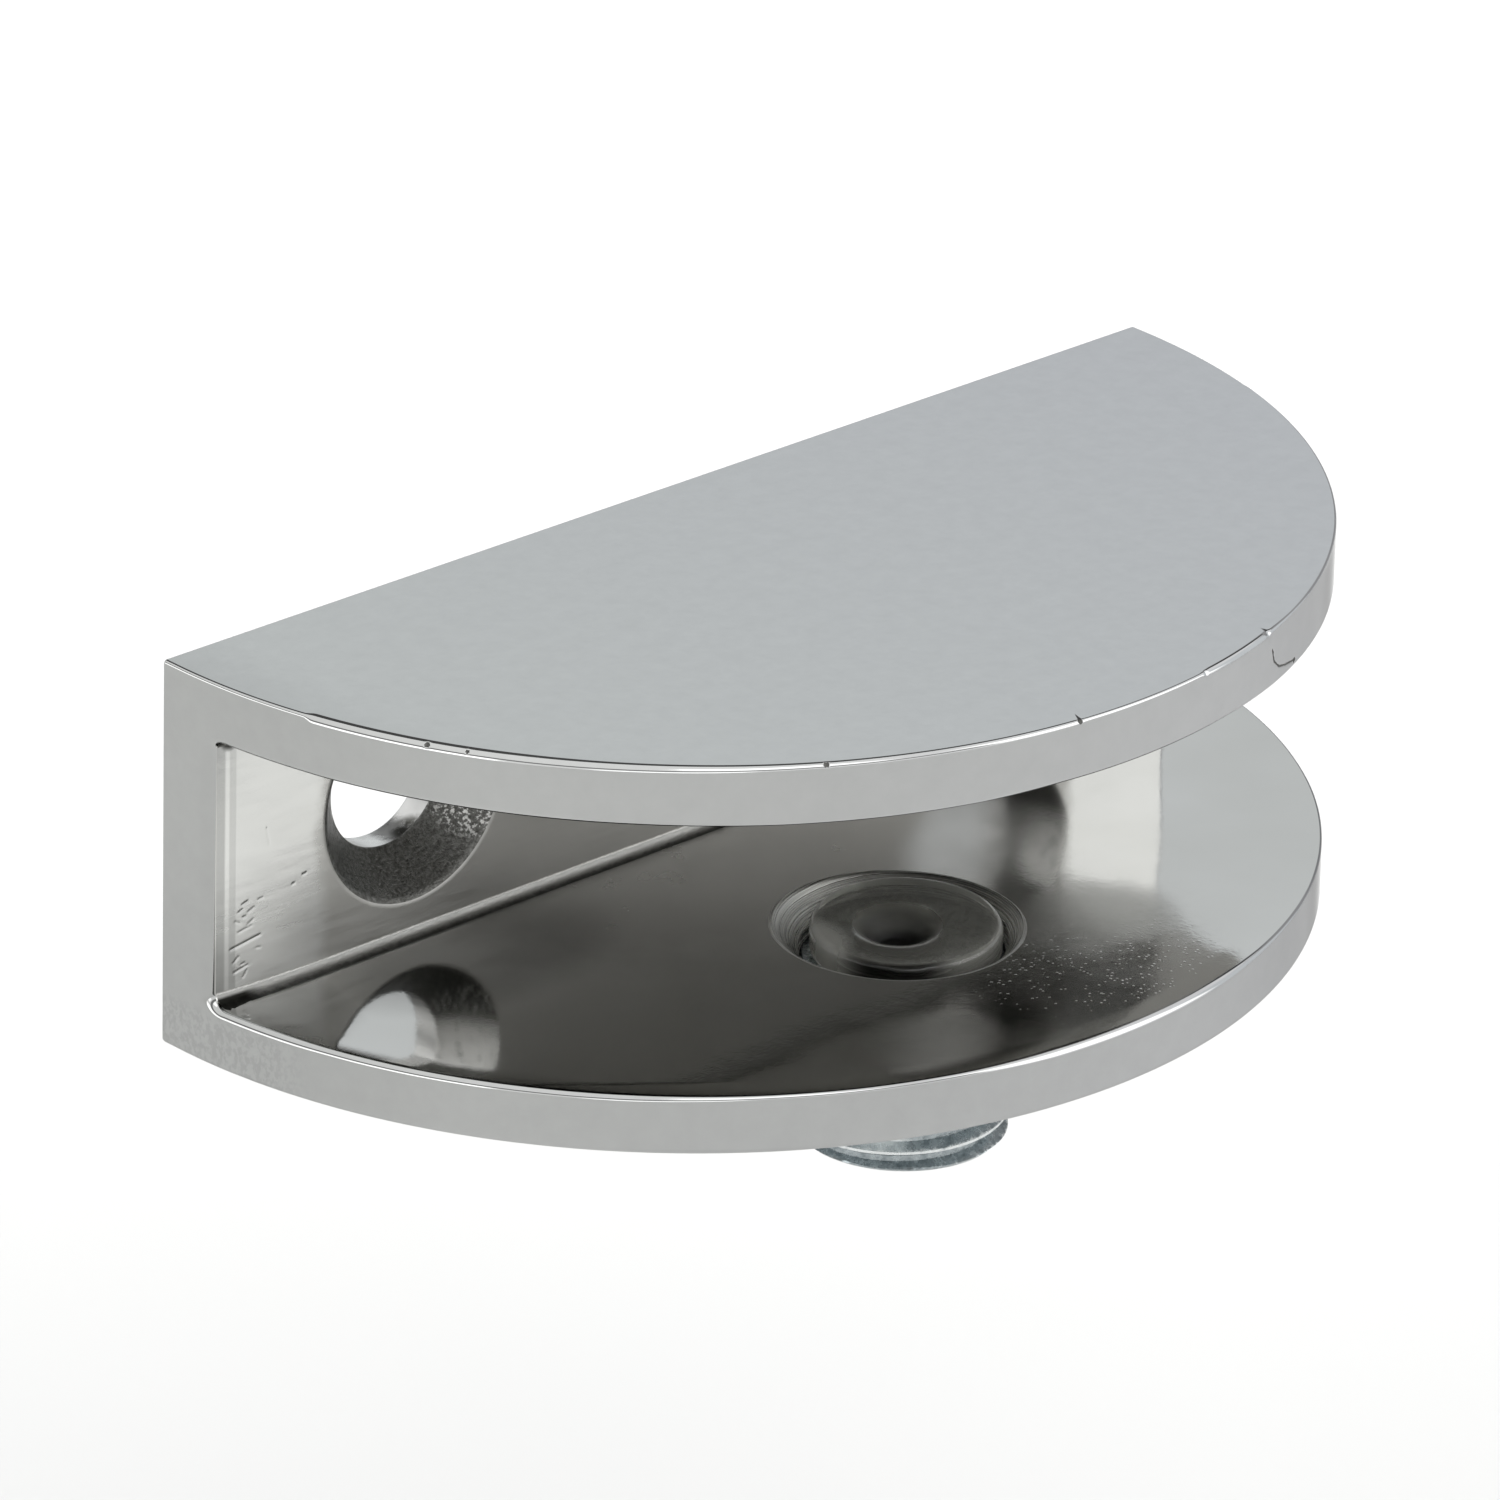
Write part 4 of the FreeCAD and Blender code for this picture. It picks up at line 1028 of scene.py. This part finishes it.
# wall plate: satin in the middle, buffed along its length at both ends, with painted reflections in upright strips near
# its left end and painted shade in its upper left corner
m_wall, nt, b = material("chrome_wall_plate")
b.inputs["Metallic"].default_value = 1.0
b.inputs["Specular Tint"].default_value = (0.8, 0.8, 0.8, 1)
co, (ox, oy, oz) = place(nt), axes(nt)
wander = calc(nt, "MULTIPLY", calc(nt, "SUBTRACT", noise(nt, co, 500, 3), 0.5), 0.0014)
far = calc(nt, "ADD", calc(nt, "ABSOLUTE", ox), wander)
ends = to_range(nt, far, 0.0229, 0.0241, 0.0, 1.0, True)
rub = noise(nt, place(nt, (0.12, 1, 1)), 2600, 3, 0.6)
satin_col = mix(nt, to_range(nt, ox, -0.023, -0.009, 0.0, 1.0, True), (0.50, 0.498, 0.484), (0.38, 0.378, 0.367))
end_col = mix(nt, to_range(nt, oz, -0.0060, -0.0015, 1.0, 0.0, True), (0.60, 0.605, 0.60), (0.70, 0.705, 0.70))
wall_col = mix(nt, ends, satin_col, end_col)
# painted reflection: lighter and darker upright strips near the left end
wall_col = mix(nt, to_range(nt, ox, -0.02833, -0.02843, 0.0, 1.0, True), wall_col, (0.50, 0.505, 0.50))
wall_col = mix(nt, to_range(nt, ox, -0.02868, -0.02880, 0.0, 1.0, True), wall_col, (0.64, 0.645, 0.64))
wall_col = mix(nt, to_range(nt, ox, -0.02890, -0.02905, 0.0, 1.0, True), wall_col, (0.42, 0.425, 0.42))
# painted shade: near black in the upper left corner of the slot
corner_shade = spot(nt, (ox, oy, oz), (-28.75, 0, 5.6), (0.6, None, 0.6))
wall_col = mix(nt, corner_shade, wall_col, (0.03, 0.03, 0.028))
nt.links.new(wall_col, b.inputs["Base Color"])
satin = to_range(nt, rub, 0.3, 0.7, 0.30, 0.42)
bright = calc(nt, "ADD", to_range(nt, rub, 0.3, 0.7, 0.12, 0.20), to_range(nt, oz, -0.0055, 0.001, 0.16, 0.0, True))
nt.links.new(calc(nt, "ADD", calc(nt, "MULTIPLY", satin, calc(nt, "SUBTRACT", 1.0, ends)), calc(nt, "MULTIPLY", bright, ends)),
             b.inputs["Roughness"])
bump(nt, b, rub, 5e-6)

# clear grey plastic, with painted light towards the rim and on the left of the rim, and painted shade in the recess and
# on its side down in the bore at the front
m_pad, nt, bp = material("clear_grey_plastic")
co = place(nt)
ox, oy, oz = axes(nt)
pad_radius = calc(nt, "ADD", calc(nt, "MULTIPLY", ring(nt, (ox, oy, oz)), 200.0), calc(nt, "MULTIPLY", calc(nt, "SUBTRACT", noise(nt, co, 500, 3), 0.5), 0.05))
# painted light: lighter towards the rim
col = ramp(nt, pad_radius, [(0.0, (0.36, 0.36, 0.33)), (0.72, (0.40, 0.40, 0.365)), (0.86, (0.74, 0.74, 0.69))])
dent = calc(nt, "MULTIPLY", ring(nt, (calc(nt, "ADD", ox, 0.0005), oy, oz)), 200.0)
# painted shade: dark in the recess, darkest in its middle
col = mix(nt, to_range(nt, dent, 0.27, 0.43, 1.0, 0.0, True), col, (0.07, 0.07, 0.064))
col = mix(nt, to_range(nt, dent, 0.16, 0.24, 1.0, 0.0, True), col, (0.02, 0.02, 0.018))
# painted shade: dark on the pad's side down in the bore at the front
pad_side_shade = calc(nt, "MULTIPLY", spot(nt, (ox, oy, oz), (-3.2, -19.4, 0), (3.4, 2.6, None)), to_range(nt, oz, -0.00715, -0.00702, 1.0, 0.0, True))
col = mix(nt, calc(nt, "MULTIPLY", pad_side_shade, to_range(nt, pad_radius, 0.82, 0.86, 0.0, 1.0, True)), col, (0.03, 0.03, 0.027))
# painted light: the rim at the left made pale and less clear
lit_rim = spot(nt, (ox, oy, oz), (-4.3, -15.2, 0), (1.9, 2.4, None))
nt.links.new(mix(nt, lit_rim, col, (0.9, 0.9, 0.85)), bp.inputs["Base Color"])
nt.links.new(calc(nt, "SUBTRACT", 0.8, calc(nt, "MULTIPLY", lit_rim, 0.12)), bp.inputs["Transmission Weight"])
matt = to_range(nt, dent, 0.34, 0.45, 0.5, 0.0, True)
nt.links.new(calc(nt, "ADD", matt, to_range(nt, noise(nt, co, 900, 3), 0.3, 0.7, 0.07, 0.13)), bp.inputs["Roughness"])
bp.inputs["IOR"].default_value = 1.46
bump(nt, bp, noise(nt, co, 1800, 2), 2e-6)

clamp = body.build("clamp_casting", [m_out, m_in, m_wall, m_cast, m_tap, m_root, m_under, m_land, m_dark], polish)
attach(clamp, "clamp")
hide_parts("clamp_body")

# ------------------------------------------------------------------- set screw
sc = Patchwork()
C_OUT = 4.95 - SCREW_C
tip = lambda z: np.minimum(C_OUT + (z - SCREW_LOW), C_OUT + (SCREW_TOP - z))
v, f = helical_wall(lambda qq, z, th: np.minimum(thread_out(qq), tip(z)), (0.0625, -0.0625, 0.3685, -0.3685),
                    SCREW_LOW, SCREW_TOP, np.concatenate([np.linspace(SCREW_LOW, SCREW_LOW + 0.9, 13),
                                                          np.linspace(SCREW_TOP - 0.9, SCREW_TOP, 13)]), B_N)
out_dir = np.stack([v[:, 0], v[:, 1] - BORE_Y, 0 * v[:, 0]], 1)
sc.add(v, facing(v, f, out_dir), None, 0, angle=32)
# upper end with the blind seat for the pad's stem
SEAT_R, SEAT_Z, SOCK, SOCK_D = 1.9, SCREW_TOP - 2.4, 5.0 / math.sqrt(3), 4.0
rows, norms = bore_rows([(C_OUT, SCREW_TOP, 0, 1), (SEAT_R + 0.15, SCREW_TOP, 0, 1)])
sc.strip(rows, norms, closed=True)
rows, norms = bore_rows([(SEAT_R + 0.15, SCREW_TOP, -q, q), (SEAT_R, SCREW_TOP - 0.15, -q, q)])
sc.strip(rows, norms, closed=True)
rows, norms = bore_rows([(SEAT_R, SCREW_TOP - 0.15, -1, 0), (SEAT_R, SEAT_Z, -1, 0)])
sc.strip(rows, norms, closed=True)
rows, norms = bore_rows([(SEAT_R, SEAT_Z, 0, 1), (0.0, SEAT_Z, 0, 1)])
sc.strip(rows, norms, closed=True)
# lower end with the hexagon socket
HX = 24
hexa = np.array([[SOCK * math.cos(math.radians(60 * k)), BORE_Y + SOCK * math.sin(math.radians(60 * k))] for k in range(6)])
hexa = np.concatenate([hexa[k] + (hexa[(k + 1) % 6] - hexa[k]) * np.linspace(0, 1, HX + 1)[:-1, None] for k in range(6)])
grow = lambda e: (hexa - [0, BORE_Y]) * (1 + e / SOCK) + [0, BORE_Y]
low_ring = np.stack([C_OUT * cos_t, BORE_Y + C_OUT * sin_t, 0 * t + SCREW_LOW], 1)
mouth = xyz(grow(0.25), SCREW_LOW)
sc.fill([(low_ring[:, :2], low_ring, np.tile([0, 0, -1.0], (B_N, 1))), (mouth[:, :2], mouth, np.tile([0, 0, -1.0], (len(mouth), 1)))],
        lattice(-4.2, 4.2, BORE_Y - 4.2, BORE_Y + 4.2, 0.4), flat(SCREW_LOW, -1))
neck, deep = xyz(hexa, SCREW_LOW + 0.2), xyz(hexa, SCREW_LOW + SOCK_D)
centre = np.array([0, BORE_Y, SCREW_LOW + SOCK_D])
n_h = len(hexa)
for a_, b_ in ((mouth, neck), (neck, deep)):
    vv = np.concatenate([a_, b_])
    ff = [(i, (i + 1) % n_h, n_h + (i + 1) % n_h, n_h + i) for i in range(n_h)]
    inward = np.stack([-vv[:, 0], -(vv[:, 1] - BORE_Y), 0 * vv[:, 0]], 1)
    sc.add(vv, facing(vv, ff, inward), None, 0, angle=25)
vv = np.concatenate([deep, [centre]])
sc.add(vv, [(i, (i + 1) % n_h, n_h) for i in range(n_h)], np.tile([0, 0, -1.0], (n_h + 1, 1)))
screw = sc.build("set_screw", [m_zinc])
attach(screw, "screw")
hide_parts("clamp_screw")

# ------------------------------------------------------------------------- pad
PAD_R, PAD_T, PAD_RIM, PAD_FOOT = 4.4, 1.4, 0.35, 0.15
REC_R, REC_F, REC_D, STEM_R, STEM_L = 1.75, 0.85, 1.2, 1.45, 1.9
prof = [(0.0, -STEM_L, 0, -1), (STEM_R - 0.15, -STEM_L, 0, -1)]
prof += bend((STEM_R - 0.15, -STEM_L), (STEM_R, -STEM_L), (STEM_R, -STEM_L + 0.15), (0, -1), (1, 0), 3)[1:]
prof += [(STEM_R, -0.2, 1, 0)]
prof += bend((STEM_R, -0.2), (STEM_R, 0.0), (STEM_R + 0.2, 0.0), (1, 0), (0, -1), 3)[1:]
prof += [(PAD_R - PAD_FOOT, 0.0, 0, -1)]
prof += bend((PAD_R - PAD_FOOT, 0.0), (PAD_R, 0.0), (PAD_R, PAD_FOOT), (0, -1), (1, 0), 3)[1:]
prof += [(PAD_R, PAD_T - PAD_RIM, 1, 0)]
for k in range(1, 9):
    a = math.pi / 2 * k / 8
    prof.append((PAD_R - PAD_RIM + PAD_RIM * math.cos(a), PAD_T - PAD_RIM + PAD_RIM * math.sin(a), math.cos(a), math.sin(a)))
prof += [(3.4, PAD_T, 0, 1), (REC_R + 0.7, PAD_T, 0, 1)]
sl = unit([REC_R - REC_F, REC_D])
wall_n, run_n = (-sl[1], sl[0]), (-sl[0], -sl[1])
prof += bend((REC_R + 0.7, PAD_T), (REC_R, PAD_T), (REC_R + 0.6 * run_n[0], PAD_T + 0.6 * run_n[1]), (0, 1), wall_n, 8)[1:]
prof += bend((REC_F - 0.1 * run_n[0], PAD_T - REC_D - 0.1 * run_n[1]), (REC_F, PAD_T - REC_D), (REC_F - 0.12, PAD_T - REC_D), wall_n, (0, 1), 4)
prof += [(0.4, PAD_T - REC_D, 0, 1), (0.0, PAD_T - REC_D, 0, 1)]
tilt = Matrix.Rotation(math.radians(2.2), 3, "X") @ Matrix.Rotation(math.radians(-2.0), 3, "Y")
tilt = np.array(tilt)
base = np.array([0.05, BORE_Y, PLATE + 0.1 - PAD_T])
P_N, REC_E = 128, -0.55                # the recess sits off centre
tp = np.linspace(0, 2 * np.pi, P_N + 1)[:-1]
rows, norms = [], []
for r, z, nr, nz in prof:
    nib = np.exp(-(((tp - math.radians(228) + math.pi) % (2 * math.pi) - math.pi) / 0.17) ** 4)
    rr = r + 0.14 * nib * (r > PAD_R - 0.3) * (z > 0.3) * (z < PAD_T - 0.06)
    aside = REC_E if z > PAD_T - REC_D - 0.01 and r < 3.0 else 0.0
    rows.append(np.stack([aside + rr * np.cos(tp), rr * np.sin(tp), 0 * tp + z], 1) @ tilt.T + base)
    norms.append(unit(np.stack([nr * np.cos(tp), nr * np.sin(tp), 0 * tp + nz], 1)) @ tilt.T)
pd = Patchwork()
pd.strip(rows, norms, closed=True)
pad = pd.build("plastic_pad", [m_pad])
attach(pad, "pad")
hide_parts("screw_pad")

# ------------------------------------------------------------- floor and light
bpy.ops.mesh.primitive_plane_add(size=1.6, location=(0, 0, -0.0174 - 0.045))
floor = bpy.context.object
floor.name = "floor"
mf, nf, bf = material("pale_floor")
bf.inputs["Base Color"].default_value = (0.72, 0.72, 0.715, 1)
bf.inputs["Roughness"].default_value = 0.9
floor.data.materials.append(mf)

# Studio: pale backdrop with soft boxes, and a dark strip above the backdrop.
world = bpy.data.worlds.new("studio")
bpy.context.scene.world = world
world.use_nodes = True
wt = world.node_tree
sep = node(wt, "ShaderNodeSeparateXYZ")
wt.links.new(node(wt, "ShaderNodeTexCoord").outputs["Generated"], sep.inputs["Vector"])
turn_w = calc(wt, "ARCTAN2", sep.outputs["Y"], sep.outputs["X"])
rise_w = calc(wt, "ARCSINE", sep.outputs["Z"])


def panel(base, az, half, low, high, soft, colour):
    """Lays a soft-edged rectangle of light over the sky: angles in degrees."""
    rad = math.radians
    off = calc(wt, "ABSOLUTE", calc(wt, "WRAP", calc(wt, "SUBTRACT", turn_w, rad(az)), math.pi, -math.pi))
    m = to_range(wt, off, rad(half - soft), rad(half + soft), 1.0, 0.0, True)
    m = calc(wt, "MULTIPLY", m, to_range(wt, rise_w, rad(low - soft), rad(low + soft), 0.0, 1.0, True))
    m = calc(wt, "MULTIPLY", m, to_range(wt, rise_w, rad(high - soft), rad(high + soft), 1.0, 0.0, True))
    return mix(wt, m, base, colour)


sky = panel((1.15, 1.15, 1.15), 45, 75, -90, 32, 2, (0.94, 0.974, 0.989))   # backdrop
sky = panel(sky, 55, 42, 31.5, 74, 2, (0.10, 0.10, 0.10))                    # dark strip
sky = panel(sky, 19, 18, 3, 33, 2, (0.50, 0.50, 0.50))                       # dark strip right of the backdrop
sky = panel(sky, -170, 95, 15, 29, 2, (0.30, 0.30, 0.30))                    # gap between the boxes
sky = panel(sky, 165, 33, -14, 13, 1.5, (2.4, 2.4, 2.4))                     # left
sky = panel(sky, -52, 24, 8, 48, 3, (2.3, 2.3, 2.27))                        # front right
sky = panel(sky, -112, 20, 31, 62, 3, (2.2, 2.2, 2.2))                       # front
sky = panel(sky, -133, 13, -4, 9, 2, (2.1, 2.1, 2.1))                         # beside the camera
bg = wt.nodes["Background"]
wt.links.new(sky, bg.inputs["Color"])
bg.inputs["Strength"].default_value = 1.0

# light on the floor behind the object
lamp = bpy.data.lights.new("floor_light", "AREA")
lamp.shape, lamp.size, lamp.energy, lamp.spread = "DISK", 0.25, 0.2, math.radians(46)
lamp_ob = bpy.data.objects.new("floor_light", lamp)
bpy.context.scene.collection.objects.link(lamp_ob)
lamp_at, lamp_to = Vector((0.34, 0.36, 0.45)), Vector((0.095, 0.10, -0.0624))
lamp_ob.matrix_world = Matrix.Translation(lamp_at) @ (lamp_to - lamp_at).to_track_quat("-Z", "Y").to_matrix().to_4x4()
lamp_ob.visible_glossy = False
lamp_ob.visible_camera = False

bpy.context.scene.view_settings.view_transform = "Standard"

# ---------------------------------------------------------------------- camera
cam_data = bpy.data.cameras.new("camera")
cam = bpy.data.objects.new("camera", cam_data)
bpy.context.scene.collection.objects.link(cam)
cam_data.sensor_width = 36.0
cam_data.lens = 12771.283 / 1500 * 36
cam_data.clip_end = 50
cx, cy, cz = ((0.7332791249, -0.6795474147, 0.0227384294), (0.2667599876, 0.3182918023, 0.9096864502),
              (-0.6254125310, -0.6609883810, 0.4146727942))
px, py, pz = -364.8432770, -391.7639787, 249.6745950 + LIFT
cam.matrix_world = Matrix(((cx[0], cy[0], cz[0], px * MM), (cx[1], cy[1], cz[1], py * MM),
                           (cx[2], cy[2], cz[2], pz * MM), (0, 0, 0, 1)))
bpy.context.scene.camera = cam
